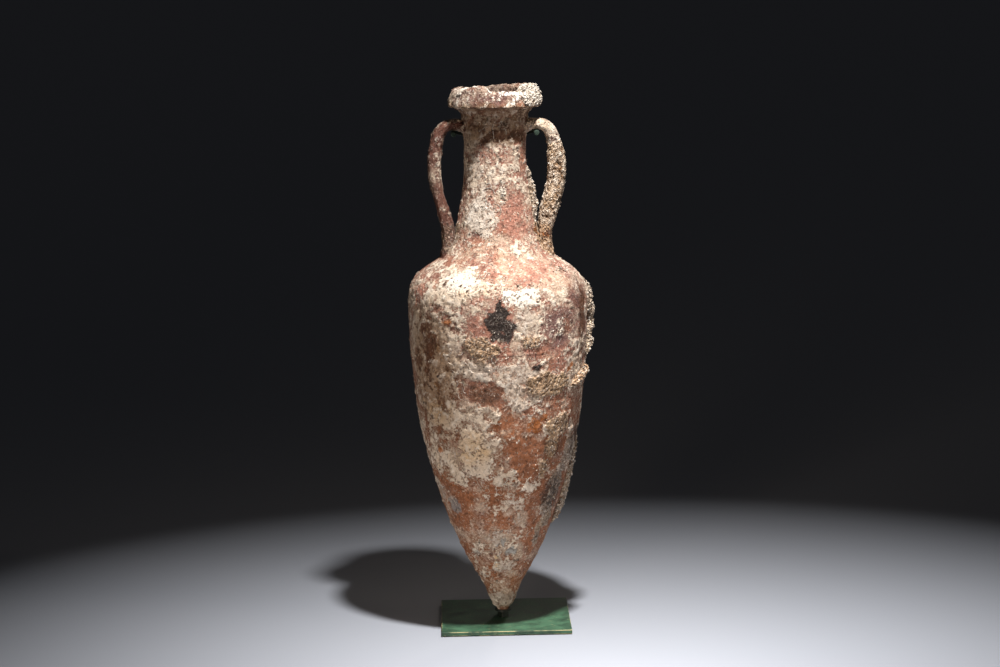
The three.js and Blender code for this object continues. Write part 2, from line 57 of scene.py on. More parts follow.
studio = dict(
    cameraPlace=(-0.0777, -4.0773, 1.084), cameraHeading=1.13, cameraDown=8.68, cameraRoll=-0.97, lens=95.15,
    floorSize=90.0, floorGrey=(0.315, 0.335, 0.385), floorRough=0.75,
    worldGrey=0.019, worldTint=(1, 1, 1.05, 1), farShare=0.55,
)
lamps = dict(                                # watts, disc size, spread in degrees
    key=dict(place=(0.2, -0.5, 1.86), target=(0.15, -0.41, 0), size=0.1, watts=13.2, spread=69,
             colour=(1, 0.97, 0.93)),
    fill=dict(place=(-1.05, -2.85, 0.5), target=(0, 0, 0.28), size=0.8, watts=1.15, spread=38,
              colour=(1, 0.82, 0.64)),
    low=dict(place=(-0.95, -1.75, 0.2), target=(-0.03, 0, 0.2), size=0.3, watts=0.15, spread=24,
             colour=(1, 0.88, 0.74)),
    side=dict(place=(2.3, -0.9, 0.55), target=(0, 0, 0.35), size=0.6, watts=0.7, spread=50,
              colour=(1, 0.85, 0.7)),
    back=dict(place=(1.0, 3.0, 1.3), target=(0, 0, 0.5), size=0.3, watts=0.45, spread=24,
              colour=(1, 0.9, 0.8)),
)


def aim(place, target):
    return (Vector(target) - Vector(place)).to_track_quat("-Z", "Y").to_matrix().to_4x4()


def linked(name, data):
    made = bpy.data.objects.new(name, data)
    bpy.context.scene.collection.objects.link(made)
    return made


def areaLight(name, look):
    data = bpy.data.lights.new(name, "AREA")
    data.shape, data.size, data.energy, data.color = "DISK", look["size"], look["watts"], look["colour"]
    data.spread = math.radians(look["spread"])
    linked(name, data).matrix_world = Matrix.Translation(look["place"]) @ aim(look["place"], look["target"])


def nodeAdder(tree):
    def add(kind, inputs=None, **settings):
        node = tree.nodes.new("ShaderNode" + kind)
        for name, value in settings.items():
            setattr(node, name, value)
        for name, value in (inputs or {}).items():
            socket = node.inputs[name]
            if isinstance(value, bpy.types.NodeSocket):
                tree.links.new(value, socket)
            else:
                socket.default_value = value
        return node
    return add


def weighted(add, first, *pairs):            # first + value * weight + ...
    total = first
    for value, weight in pairs:
        total = add("Math", {0: value, 1: weight, 2: total}, operation="MULTIPLY_ADD").outputs[0]
    return total


def product(add, a, b):
    return add("Math", {0: a, 1: b}, operation="MULTIPLY").outputs[0]


def ranged(add, value, low, high, a, b, **settings):
    return add("MapRange", {"Value": value, 1: low, 2: high, 3: a, 4: b}, **settings).outputs[0]


def setStudio():
    data = bpy.data.cameras.new("studio_camera")
    data.lens, data.sensor_width = studio["lens"], 36.0
    camera = linked("studio_camera", data)
    turn = (Matrix.Rotation(-math.radians(studio["cameraHeading"]), 4, "Z")
            @ Matrix.Rotation(math.radians(90 - studio["cameraDown"]), 4, "X")
            @ Matrix.Rotation(math.radians(studio["cameraRoll"]), 4, "Z"))
    camera.matrix_world = Matrix.Translation(studio["cameraPlace"]) @ turn
    bpy.context.scene.camera = camera
    for name, look in lamps.items():
        areaLight(name, look)
    world = bpy.data.worlds.new("studio")
    world.use_nodes = True
    add = nodeAdder(world.node_tree)         # lights with one grey, and is seen as dark as the far floor
    seen = add("LightPath").outputs["Is Camera Ray"]
    dim = ranged(add, seen, 0.0, 1.0, 1.0, studio["farShare"])
    background = world.node_tree.nodes["Background"]
    background.inputs["Color"].default_value = studio["worldTint"]
    world.node_tree.links.new(weighted(add, 0.0, (dim, studio["worldGrey"])), background.inputs["Strength"])
    bpy.context.scene.world = world
    bpy.context.scene.view_settings.view_transform = "Standard"
    sheet = bmesh.new()
    bmesh.ops.create_grid(sheet, x_segments=1, y_segments=1, size=studio["floorSize"] / 2)
    floor = objectFrom(sheet, "studio_floor")
    material = bpy.data.materials.new("pale floor")
    material.use_nodes = True
    shader = material.node_tree.nodes["Principled BSDF"]
    shader.inputs["Base Color"].default_value = (*studio["floorGrey"], 1)
    shader.inputs["Roughness"].default_value = studio["floorRough"]
    floor.data.materials.append(material)


def objectFrom(sheet, name):                 # an object of a bmesh, which is then freed
    mesh = bpy.data.meshes.new(name)
    sheet.to_mesh(mesh)
    sheet.free()
    return linked(name, mesh)


setStudio()
print("camera, floor and lights are set")


# Numbers for noise: a repeatable value at each corner of a lattice
def cornerValue(cell, seed):
    n = cell[:, 0] * 374761393 + cell[:, 1] * 668265263 + cell[:, 2] * 1440662683 + seed * 974634777
    n = n & 0xFFFFFFFF
    n = ((n ^ (n >> 13)) * 1274126177) & 0xFFFFFFFF
    return ((n ^ (n >> 16)) & 0xFFFF) / 65535.0


def softNoise(places, size, seed):           # -1 to 1, blobs about size across
    q = places / size + seed * 17.31
    cell = np.floor(q).astype(np.int64)
    f = q - cell
    f = f * f * (3 - 2 * f)
    total = np.zeros(len(q))
    for corner in range(8):
        step = np.array([corner & 1, (corner >> 1) & 1, corner >> 2])
        share = np.prod(np.where(step, f, 1 - f), axis=1)
        total += share * cornerValue(cell + step, seed)
    return total * 2 - 1


tilt = np.array([[0.8, 0.36, -0.48], [-0.6, 0.48, -0.64], [0.0, 0.8, 0.6]])


def layeredNoise(places, size, layers, seed):    # the same, with finer blobs on top
    total, weight, weights = np.zeros(len(places)), 1.0, 0.0
    q = places
    for layer in range(layers):
        total += weight * softNoise(q, size, seed + layer)
        weights += weight
        weight, size, q = weight / 2, size / 2, q @ tilt
    return total / weights * 1.5


def cellNoise(places, size, seed):           # distance to the nearest scattered point, and its value
    q = places / size
    cell = np.floor(q).astype(np.int64)
    best = np.full(len(q), 9.0)
    value = np.zeros(len(q))
    for i in (-1, 0, 1):
        for j in (-1, 0, 1):
            for k in (-1, 0, 1):
                near = cell + np.array([i, j, k])
                spot = np.stack([cornerValue(near, seed + n) for n in (1, 2, 3)], 1)
                away = np.linalg.norm(near + spot - q, axis=1)
                closer = away < best
                value = np.where(closer, cornerValue(near, seed + 4), value)
                best = np.minimum(best, away)
    return best, value


def ramp(low, high, x):
    t = np.clip((x - low) / (high - low), 0, 1)
    return t * t * (3 - 2 * t)


def faded(x, most, low, high):               # most at high and beyond it, nothing at low
    return most * ramp(low, high, x)


def paint(code):                             # "#rrggbb" as linear light
    share = np.array([int(code[i:i + 2], 16) / 255 for i in (1, 3, 5)])
    return np.where(share <= 0.04045, share / 12.92, ((share + 0.055) / 1.055) ** 2.4)


def mixed(a, b, share):
    return a + (b - a) * share[:, None]


# The jar's outline, in millimetres, the same sizes as the solids
jar = dict(
    toeHeight=20.85, toeTipRadius=8.7, bellyRadius=140.0, bellyHeight=480.0, shoulderRise=116.0,
    neckFootRadius=66.5, neckLength=188.0, neckWaistRadius=48.0, neckTopRadius=53.0, wall=10.0,
    toeSeam=34.0, girthSeam=424.0, lap=6.0, spigotRadius=12.0, spigotLength=12.0, gap=0.3,
    turnSteps=400, skinStep=2.0, insideStep=14.0, sharpAngle=0.9,
    settle=1.1, junction=(6, 0), tipFade=(1.5, 5.0),    # how far the worn skin lies inside the solids'
)
lowerShare = [
    (0, 0), (.02, .037), (.0625, .112), (.125, .244), (.1875, .37), (.25, .476), (.3125, .571),
    (.375, .652), (.4375, .72), (.5, .78), (.5625, .835), (.625, .885), (.6875, .919), (.75, .945),
    (.8125, .968), (.875, .986), (.9375, .996), (1, 1),
]
shoulderShare = [
    (.12, .003), (.217, .012), (.3, .034), (.38, .077), (.45, .142), (.51, .226), (.565, .335),
    (.62, .46), (.675, .59), (.74, .718), (.82, .835), (.91, .93),
]
neckShare = [
    (0, 1, 0), (.08, .83, 0), (.17, .64, 0), (.26, .44, 0), (.36, .24, 0), (.5, .09, 0),
    (.66, .01, .02), (.8, 0, .2), (.92, 0, .62), (1, 0, 1),
]
neckFoot = jar["bellyHeight"] + jar["shoulderRise"]
neckTop = neckFoot + jar["neckLength"]


def resampled(line, step):                   # even steps along a line of points
    line = np.asarray(line, float)
    run = np.concatenate([[0], np.cumsum(np.linalg.norm(np.diff(line, axis=0), axis=1))])
    at = np.linspace(0, run[-1], max(2, int(round(run[-1] / step)) + 1))
    return np.stack([np.interp(at, run, line[:, i]) for i in range(line.shape[1])], 1)


def eased(line, reach, step):                # rounds the corners of an evenly stepped line
    span = int(3 * reach / step)
    kernel = np.exp(-0.5 * (np.arange(-span, span + 1) * step / reach) ** 2)
    kernel /= kernel.sum()
    ends = [2 * line[0] - line[span:0:-1], line, 2 * line[-1] - line[-2:-span - 2:-1]]
    long = np.concatenate(ends)
    return np.stack([np.convolve(long[:, i], kernel, "valid") for i in range(line.shape[1])], 1)


def jarOutline():
    j = jar
    points = [(j["toeTipRadius"] + (j["bellyRadius"] - j["toeTipRadius"]) * out, j["bellyHeight"] * up)
              for up, out in lowerShare]
    points += [(j["bellyRadius"] - (j["bellyRadius"] - j["neckFootRadius"]) * lost,
                j["bellyHeight"] + j["shoulderRise"] * up) for up, lost in shoulderShare]
    points += [(j["neckWaistRadius"] + (j["neckFootRadius"] - j["neckWaistRadius"]) * foot
                + (j["neckTopRadius"] - j["neckWaistRadius"]) * top,
                neckFoot + j["neckLength"] * up) for up, foot, top in neckShare]
    line = eased(resampled(points, 1.0), 5.0, 1.0)
    line[:, 1] += j["toeHeight"]
    return line


skin = jarOutline()
slope = np.gradient(skin, axis=0)
slope /= np.linalg.norm(slope, axis=1)[:, None]


def radiusOn(line, height):
    return np.interp(height, line[:, 1], line[:, 0])


def radiusAt(height):
    return radiusOn(skin, height)


def outwardAt(height):                       # outward direction of the skin, as (radius, height)
    return np.stack([np.interp(height, skin[:, 1], slope[:, 1]),
                     np.interp(height, skin[:, 1], -slope[:, 0])], 1)


inside = skin - np.stack([slope[:, 1], -slope[:, 0]], 1) * jar["wall"]


def insideRadius(height):
    return float(radiusOn(inside, height))


def stretch(line, low, high, step):
    order = line[(line[:, 1] > low) & (line[:, 1] < high)]
    ends = [(radiusOn(line, height), height) for height in (low, high)]
    return resampled(np.concatenate([ends[:1], order, ends[1:]]), step)


def seamRadius(height):
    return (float(radiusAt(height)) + insideRadius(height)) / 2


def tongue(height):
    top = height + jar["lap"]
    radius = seamRadius(height)
    return [(radius, height), (radius, top), (insideRadius(top), top)]


def rebate(height):
    top = height + jar["lap"] + jar["gap"]
    radius = seamRadius(height) + jar["gap"]
    return [(insideRadius(top), top), (radius, top), (radius, height)]


def baked(made):                             # the mesh that an object comes to
    return bpy.data.meshes.new_from_object(made.evaluated_get(bpy.context.evaluated_depsgraph_get()))


def applied(made):                           # bakes the modifiers into the mesh
    mesh = baked(made)
    made.modifiers.clear()
    made.data = mesh


def turnedPiece(name, profile, closed):
    sheet = bmesh.new()
    row = [sheet.verts.new((r * mm, 0, z * mm)) for r, z in profile]
    for a, b in zip(row, row[1:]):
        sheet.edges.new((a, b))
    if closed:
        sheet.edges.new((row[-1], row[0]))
    made = objectFrom(sheet, name)
    turn = made.modifiers.new("turn", "SCREW")
    turn.angle, turn.use_merge_vertices, turn.merge_threshold = 2 * math.pi, True, 1e-6
    turn.steps = turn.render_steps = jar["turnSteps"]
    applied(made)
    sheet = bmesh.new()
    sheet.from_mesh(made.data)
    bmesh.ops.remove_doubles(sheet, verts=sheet.verts, dist=1e-6)
    bmesh.ops.recalc_face_normals(sheet, faces=sheet.faces)
    for edge in sheet.edges:
        edge.smooth = edge.calc_face_angle(0) < jar["sharpAngle"]
    sheet.to_mesh(made.data)
    sheet.free()
    return made


def vertexRows(mesh, name):
    flat = np.empty(len(mesh.vertices) * 3, np.float32)
    mesh.vertices.foreach_get(name, flat)
    return flat.reshape(-1, 3).astype(float)


def placesOf(mesh):                          # in millimetres
    return vertexRows(mesh, "co") / mm


def normalsOf(mesh):
    return vertexRows(mesh, "normal")


def setPlaces(mesh, places):
    mesh.vertices.foreach_set("co", (places * mm).astype(np.float32).ravel())
    mesh.update()


def setTone(mesh, name, colour):
    part = mesh.attributes.new(name, "FLOAT_COLOR", "POINT")
    flat = np.concatenate([np.clip(colour, 0, 1), np.ones((len(colour), 1))], 1)
    part.data.foreach_set("color", flat.astype(np.float32).ravel())


def setLayers(mesh, layers):                 # two colours, and how much lime, film and crust
    setTone(mesh, "clayTone", layers["clay"])
    setTone(mesh, "limeTone", layers["coat"])
    setTone(mesh, "layers", np.stack([layers["lime"], layers["film"], layers["crust"]], 1))


def shadeSmooth(mesh):
    mesh.polygons.foreach_set("use_smooth", np.ones(len(mesh.polygons), bool))


# Weathering. Noises are size, layers and seed. Shares are how much, and from where to where. A patch is
# degrees round from the right, height, half width, half height and strength, and the grown ones carry grains.
weather = dict(
    noises=dict(big=(46.0, 2, 1), middle=(15.0, 2, 5), small=(5.5, 2, 9), other=(21.0, 3, 15)),
    tinySize=2.6, roughEdge=7.5, edgeSize=16, limeBase=0.47, limeInside=-0.06, limeBounds=(0.12, 0.86),
    limeLowCone=(-0.15, 300, 225), limeToe=(0.15, 70, 45), filmBase=0.4, filmLow=(-0.15, 330, 240),
    limeThick=0.75, crustThick=2.4, seamRise=0.8, seamAbove=4, seamWander=3.5, seamWidth=1.7,
    toeGrowth=2.6, toeFrom=(2.5, 9), toeTo=(46, 26), insideRelief=0.35, grownSize=5.2,
    pitSize=8.0, pitEdge=(0.3, 0.14), pitRare=0.6, pitDepth=0.9, pitShadeShare=0.7,
    roseAbove=(1, 300, 470), purpleShare=(0.5, 0.1, 0.9), rimPurple=(0.65, 0, 12), rustNoise=(34, 3, 25),
    rustShare=(0.3, 0.2, 0.9), oliveClay=0.6, insideClay=0.8, claySmall=0.2, clayMiddle=0.22,
    greyNoise=(26, 3, 21), greyShare=(0.6, 0.05, 0.75), oliveCoat=0.75, oliveShare=(0.3, 0.2, 0.8),
    goldenShare=(0.3, 0.2, 0.9), whiteShare=(0.5, 0.15, 0.8),
    growthEdge=(0.36, 0.66), growthLime=0.62, gritShare=0.7, stainEdge=(0.38, 0.62), sootOnLime=0.4,
    stainShare=dict(slate=0.7, rust=0.9, soot=0.8, dark=0.97),
    limeShare=dict(lime=0.27, white=0.27, grey=0.27, golden=0.27, olive=0.2, bare=-0.3, purple=-0.2,
                   rose=-0.14, dark=-0.25, umber=-0.15),
    filmShare=dict(olive=-0.45, grey=0.25, rose=0.25, dark=-1.2, soot=-0.3, floury=0.4, rust=-0.7,
                   umber=-0.3),
    patches=dict(
        lime=[
            (-124, 546, 72, 24, .8), (-108, 578, 49, 11, .3), (-120, 338, 68, 29, .6),
            (-123, 289, 67, 51, .8), (-87, 251, 15, 13, .8), (-100, 200, 60, 26, .42),
            (-108, 150, 50, 26, .38), (-64, 239, 19, 19, .9), (-101, 221, 24, 11, .8),
            (-110, 706, 33, 22, .4), (-148, 573, 42, 10, .5), (75, 520, 70, 40, .6), (20, 330, 40, 50, .5),
            (-90, 38, 60, 14, .5)
        ],
        bare=[
            (-151, 541, 20, 8, .8), (-137, 554, 9, 10, .7), (-104, 529, 10, 6, .7), (-60, 566, 75, 21, .8),
            (-103, 496, 19, 14, 1.0), (-103, 389, 30, 19, 1.0), (-84, 335, 31, 19, .6),
            (-139, 458, 12, 21, .9), (-144, 416, 11, 16, .6), (-60, 287, 67, 32, 1.0),
            (-125, 181, 42, 22, .7), (-92, 184, 19, 16, .5), (-51, 135, 20, 32, .4), (-63, 645, 28, 34, .8),
            (-76, 584, 32, 13, .6), (-82, 303, 22, 13, .5), (130, 470, 60, 50, .6), (60, 230, 50, 50, .7),
            (100, 610, 60, 40, .4)
        ],
        dark=[
            (-90, 506, 15, 17, 1.4), (-90.5, 529, 5, 11, 1.2), (-95, 494, 11, 10, 1.2),
            (-84, 490, 11, 17, 1.3), (-87, 475, 9, 13, 1.2), (-95, 512, 6, 7, .9), (-92, 484, 12, 10, 1.2),
            (-67, 428, 10, 6, .7), (100, 425, 14, 12, 1.1)
        ],
        grey=[
            (-74, 499, 21, 21, .5), (-102, 425, 35, 19, .6), (-77, 400, 32, 42, .7), (-71, 180, 11, 18, .8),
            (-101, 152, 13, 10, .7), (-86, 96, 20, 18, .7), (-50, 197, 20, 13, .8), (-81, 44, 17, 16, .8),
            (-160, 222, 18, 16, .7), (-113, 649, 29, 29, .7), (95, 330, 60, 60, .5),
            (-128, 838, 50, 14, .3)
        ],
        purple=[
            (-47, 488, 42, 32, .9), (-28, 530, 30, 44, .8), (-119, 625, 9, 6, .9), (-118, 835, 62, 22, .45),
            (60, 835, 120, 22, .5)
        ],
        rust=[
            (-66, 335, 13, 11, 1.3), (-38, 421, 12, 7, 1.2), (-58, 346, 8, 12, 1.0), (-126, 495, 12, 6, .7),
            (-126, 320, 8, 6, .6), (-144, 292, 8, 6, .6), (-20, 622, 10, 8, .7)
        ],
        olive=[
            (-141, 421, 56, 99, .95), (-95, 800, 59, 21, .6), (-95, 815, 140, 12, .9),
            (-90, 782, 70, 26, .95), (90, 810, 200, 22, .7)
        ],
        slate=[
            (-140, 203, 15, 16, .9), (-105, 212, 6, 6, .6), (-94, 145, 6, 6, .9), (-129, 119, 8, 6, .8),
            (-79, 130, 8, 8, .7), (120, 180, 12, 14, .8)
        ],
        soot=[
            (-38, 219, 29, 29, .8), (-16, 296, 22, 35, .9)
        ],
        # the first umber patch, under the rim's right side, is a brown patch with the rim's shadow painted
        # into it
        umber=[
            (-35, 803, 22, 9, .7), (-101, 388, 30, 18, .9), (-140, 458, 16, 24, .8),
            (-146, 412, 16, 20, .7), (-152, 360, 20, 30, .5), (-148, 440, 24, 56, .5),
            (-22, 490, 14, 60, .9), (-100, 782, 12, 7, .9), (-76, 788, 10, 6, .9), (-90, 768, 20, 7, .8),
            (-60, 778, 12, 8, .9), (-112, 762, 9, 8, .8), (-40, 770, 12, 12, .9), (-48, 292, 26, 18, .6),
            (120, 300, 40, 30, .7), (70, 500, 30, 24, .6)
        ],
        rose=[
            (-82, 749, 34, 16, .5)
        ],
        grit=[
            (-40, 190, 17, 32, 1.0), (-34, 235, 17, 36, 1.0), (-28, 285, 15, 38, .9),
            (-166, 616, 18, 28, .9), (-45, 155, 9, 22, .7), (60, 380, 30, 70, .6)
        ],
        floury=[
            (-60, 560, 80, 30, .9), (-75, 600, 50, 30, .7), (-122, 175, 80, 60, .7), (-88, 50, 60, 26, .8)
        ],
    ),
    grown=[
        ("golden", -108, 546, 39, 16, .3), ("white", -76, 538, 36, 15, .9), ("white", -33, 568, 22, 5, .6),
        ("crust", -102, 460, 34, 22, 1.0), ("white", -49, 476, 8, 8, .9), ("crust", -70, 464, 15, 13, .7),
        ("crust", -56, 398, 46, 22, 1.1), ("crust", -44, 331, 33, 22, .9), ("crust", -50, 300, 13, 30, .9),
        ("crust", -56, 262, 12, 14, .8), ("white", -47, 305, 6, 30, .5), ("white", -134, 122, 9, 6, .8),
        ("golden", -100, 106, 4, 11, .8), ("white", -71, 835, 16, 13, .9), ("white", -79, 691, 6, 16, .5),
        ("crust", 30, 470, 60, 40, .8), ("crust", 150, 350, 50, 40, .7), ("white", -38, 200, 15, 34, .4),
        ("white", -30, 260, 14, 40, .4), ("crust", -13, 612, 20, 30, 1.1),
        ("white", -100, 842, 80, 14, .35), ("white", -118, 556, 30, 14, .5), ("white", -78, 838, 26, 8, .6),
        ("white", -62, 842, 32, 13, .6), ("white", -4, 838, 26, 16, .7), ("golden", -112, 300, 30, 30, .6),
        ("golden", -140, 350, 26, 20, .4), ("white", -118, 652, 30, 44, .3),
        ("crust", 110, 590, 34, 20, .6),
    ],
    # pit is the painted shade used in the skin's pits, the crust's holes and under the rim's lip
    tones=dict(
        lime="#dac7b3", white="#efe6db", grey="#b8a79a", golden="#d8b78f", olive="#8a6440", slate="#848a8c",
        crust="#cda987", crustDeep="#55351f", roseClay="#a87462", brownClay="#9a603d", purple="#6f4f4a",
        umber="#63402a", rust="#a75f22", dark="#1c110a", soot="#33251c", insideClay="#54352e", pit="#3f2a1c",
        handleClay="#522c20",
    ),
)
seams = dict(
    toe=jar["toeHeight"] + jar["toeSeam"], girth=jar["toeHeight"] + jar["girthSeam"],
    shoulder=jar["toeHeight"] + neckFoot, neck=jar["toeHeight"] + neckTop,
)
tones = {name: paint(code) for name, code in weather["tones"].items()}


def radiusOf(places):
    return np.hypot(places[:, 0], places[:, 1])


def azimuthOf(places):
    return np.arctan2(places[:, 1], places[:, 0])


def plain(tone, places):
    return np.broadcast_to(tones[tone], places.shape)


def patchWeights(places, wobble):
    azimuth = azimuthOf(places)
    radius = np.maximum(radiusAt(places[:, 2]), radiusOf(places))
    rows = [(kind, *row) for kind, patches in weather["patches"].items() for row in patches]
    weights = {}
    for kind, degrees, height, wide, high, strength in rows + weather["grown"]:
        turn = (azimuth - math.radians(degrees) + math.pi) % (2 * math.pi) - math.pi
        across = (turn * radius + wobble[0]) / wide
        up = (places[:, 2] - height + wobble[1]) / high
        share = strength * ramp(1.25, 0.55, np.hypot(across, up))
        weights[kind] = np.maximum(weights.get(kind, 0), share)
    return weights


lumps = dict(                                # size as a share of the lump's, and how high it stands
    bulge=(1, 0.45), bead=(0.47, 0.4), frill=(0.3, 0.22), hole=(0.75, -0.75), holeEdge=(0.34, 0.14),
    # then the crust's tones: lit tops, painted highlight, random gilding, and painted shade in the holes
    litTopEdge=(-0.1, 0.55), highlightShare=(0.75, 0.45, 0.8), goldenShare=(0.35, 0, 0.8), goldenSize=21,
    beadEdge=(0.9, 0.1), bulgeEdge=(0.95, 0.05), smallestBead=0.35, holeShadeShare=0.8,
)


def crustRelief(places, size, seed):         # lumps, beads and holes of grown crust
    away, high = zip(*[lumps[name] for name in ("bulge", "bead", "frill", "hole")])
    bulge = ramp(*lumps["bulgeEdge"], cellNoise(places, size * away[0], seed)[0])
    near, value = cellNoise(places, size * away[1], seed + 20)
    bead = ramp(*lumps["beadEdge"], near) * (lumps["smallestBead"] + (1 - lumps["smallestBead"]) * value)
    frill = layeredNoise(places, size * away[2], 2, seed + 40)
    hole = ramp(*lumps["holeEdge"], cellNoise(places, size * away[3], seed + 60)[0])
    return high[0] * bulge + high[1] * bead + high[2] * frill + high[3] * hole, hole


# painted shade and light: lower relief goes to the deep tone, higher to the light tone, the highest gets a
# painted white highlight, holes are painted dark; the golden is random
def crustTones(deep, light, relief, hole, places, seed):
    gilt = layeredNoise(places, lumps["goldenSize"], 2, seed)
    colour = mixed(plain(deep, places), tones[light], ramp(*lumps["litTopEdge"], relief))
    colour = mixed(colour, tones["white"], faded(relief, *lumps["highlightShare"]))
    colour = mixed(colour, tones["golden"], faded(gilt, *lumps["goldenShare"]))
    return mixed(colour, tones["pit"], lumps["holeShadeShare"] * hole)


def clayColour(places, at, inner, small, middle, other):
    w, height = weather, places[:, 2]
    rust = layeredNoise(places, *w["rustNoise"])
    clay = mixed(plain("brownClay", places), tones["roseClay"], faded(height, *w["roseAbove"]))
    for tone, share in (("purple", np.clip(at["purple"] + faded(other, *w["purpleShare"]), 0, 1)),
                        ("purple", faded(height - seams["neck"], *w["rimPurple"])),
                        ("olive", w["oliveClay"] * at["olive"]),
                        ("umber", np.clip(at["umber"], 0, 1)),
                        ("insideClay", w["insideClay"] * inner),
                        ("rust", faded(rust, *w["rustShare"]))):
        clay = mixed(clay, tones[tone], share)
    return clay * (1 + w["claySmall"] * small + w["clayMiddle"] * middle)[:, None]


def coatColour(places, at, small, middle, other):
    w, coat = weather, plain("lime", places)
    grey = layeredNoise(places, *w["greyNoise"])
    for tone, share in (("grey", at["grey"] + faded(grey, *w["greyShare"])),
                        ("olive", w["oliveCoat"] * at["olive"] + faded(-middle, *w["oliveShare"])),
                        ("golden", at["golden"] + faded(other, *w["goldenShare"])),
                        ("white", at["white"] + faded(small, *w["whiteShare"]))):
        coat = mixed(coat, tones[tone], np.clip(share, 0, 1))
    return coat


def weathered(places, inner):                # how proud each place is, its colours and its layers
    w = weather
    height = places[:, 2]
    big, middle, small, other = [layeredNoise(places, *noiseLook) for noiseLook in w["noises"].values()]
    tiny = softNoise(places, w["tinySize"], 77)
    wobble = [w["roughEdge"] * layeredNoise(places, w["edgeSize"], 3, seed) for seed in (31, 41)]
    at = patchWeights(places, wobble)
    ragged = 0.3 * middle + 0.35 * small + 0.15 * tiny

    # how much lime and film there is
    lime = w["limeBase"] + 0.18 * big + 0.19 * middle + 0.09 * small
    lime += faded(height, *w["limeLowCone"]) + faded(height, *w["limeToe"])
    lime += sum(share * at[kind] for kind, share in w["limeShare"].items())
    lime = np.clip(lime + w["limeInside"] * inner, *w["limeBounds"])
    cover = ramp(0.42, 0.6, lime + 0.1 * small + 0.06 * tiny)
    film = w["filmBase"] + 0.9 * (lime - 0.4) + 0.4 * other + faded(height, *w["filmLow"])
    film += sum(share * at[kind] for kind, share in w["filmShare"].items())
    clay = clayColour(places, at, inner, small, middle, other)
    coat = coatColour(places, at, small, middle, other)

    # crust and grit grown on both, with painted shade in their hollows, then stains, and pits painted dark as
    # shade
    relief, hole = crustRelief(places, w["grownSize"], 51)
    crust, grit = [ramp(*w["growthEdge"], at[kind] + ragged) for kind in ("crust", "grit")]
    for share, deep, light, seed in ((crust, "crustDeep", "crust", 57), (grit, "olive", "grey", 58)):
        tone = crustTones(deep, light, relief, hole, places, seed)
        coat, clay = mixed(coat, tone, share), mixed(clay, tone, share)
    crust = np.maximum(crust, grit * w["gritShare"])
    lime = lime + (w["growthLime"] - lime) * crust
    for kind, most in w["stainShare"].items():
        share = most * ramp(*w["stainEdge"], at[kind] + 0.9 * ragged)
        clay = mixed(clay, tones[kind], share)
        coat = mixed(coat, tones[kind], share * (w["sootOnLime"] if kind == "soot" else 1))
    # painted shade: the small pits are painted dark with the pit tone
    pitNear, pitValue = cellNoise(places, w["pitSize"], 61)
    pit = ramp(*w["pitEdge"], pitNear) * (pitValue > w["pitRare"])
    clay, coat = [mixed(colour, tones["pit"], w["pitShadeShare"] * pit) for colour in (clay, coat)]

    # relief: the coat and the crust, the bead of the girth seam, and the growth round the toe
    outer = np.where(inner, 0, 1)
    seamHeight = seams["girth"] + w["seamAbove"] + w["seamWander"] * softNoise(places, 90, 83)
    ridge = np.exp(-((height - seamHeight) / w["seamWidth"]) ** 2) * outer
    ridge *= ramp(-0.3, 0.4, softNoise(places, 45, 85))
    aboveTip = height - jar["toeHeight"]
    toeShare = ramp(*w["toeFrom"], aboveTip) * ramp(*w["toeTo"], aboveTip) * (1 + 0.3 * small) * outer
    proud = (w["limeThick"] * cover * (0.75 + 0.5 * small) + 0.2 * middle + 0.25 * small + 0.15 * tiny
             + w["crustThick"] * crust * (0.3 + relief) - w["pitDepth"] * pit
             + w["seamRise"] * ridge + 0.9 * np.clip(at["dark"], 0, 1) * tiny + w["toeGrowth"] * toeShare)
    return proud - jar["settle"], dict(clay=clay, coat=coat, lime=lime, film=film, crust=crust)


def kept(places):                            # inside the widest circle of the solids
    share = np.minimum(1, (jar["bellyRadius"] - margin) / np.maximum(radiusOf(places), tiniest))
    return places * np.stack([share, share, np.ones(len(share))], 1)


def within(places):                          # inside the box of the solids
    return np.clip(places, np.array(cadBox[0]) / mm + margin, np.array(cadBox[1]) / mm - margin)


def unit(vectors):
    return vectors / np.maximum(np.linalg.norm(vectors, axis=1), tiniest)[:, None]


def radial(places):
    return unit(places * (1, 1, 0))


def skinNormals(places, out):                # out is radius and height of the outward direction
    return radial(places) * out[:, :1] + np.outer(out[:, 1], (0, 0, 1))


def weatherTurned(made):                     # gives the relief, and the layers that the piece is dressed in
    places = placesOf(made.data)
    radius, height = radiusOf(places), places[:, 2]
    outer = np.abs(radius - radiusAt(height)) < onLine
    inner = np.abs(radius - radiusOn(inside, height)) < onLine
    proud, layers = weathered(places, inner)
    lift = np.where(outer, proud, np.where(inner, -weather["insideRelief"] * (proud + jar["settle"]), 0))
    shift = skinNormals(places, outwardAt(height)) * lift[:, None]
    junction = ramp(*jar["junction"], np.abs(height - seams["neck"]))
    settled = radial(places) * -jar["settle"]
    shift = np.where(outer[:, None], shift + (settled - shift) * junction[:, None], shift)
    shift *= np.where(outer, ramp(*jar["tipFade"], height - jar["toeHeight"]), 1)[:, None]
    return kept(places + shift), layers


def finished(made, body, replaced, material):
    made.data.materials.clear()
    made.data.materials.append(material)
    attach(made, body)
    if replaced:
        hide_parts(*replaced)


def dressed(made, places, layers, replaced, material):    # a finished piece of the jar
    setPlaces(made.data, places)
    setLayers(made.data, layers)
    shadeSmooth(made.data)
    finished(made, "vessel", replaced, material)


def newGroup(name, outputs):                 # a group that reads a place and gives out numbers
    group = bpy.data.node_groups.new(name, "ShaderNodeTree")
    group.interface.new_socket("Place", in_out="INPUT", socket_type="NodeSocketVector")
    for label in outputs:
        group.interface.new_socket(label, in_out="OUTPUT", socket_type="NodeSocketFloat")
    return group, nodeAdder(group), group.nodes.new("NodeGroupInput").outputs["Place"]


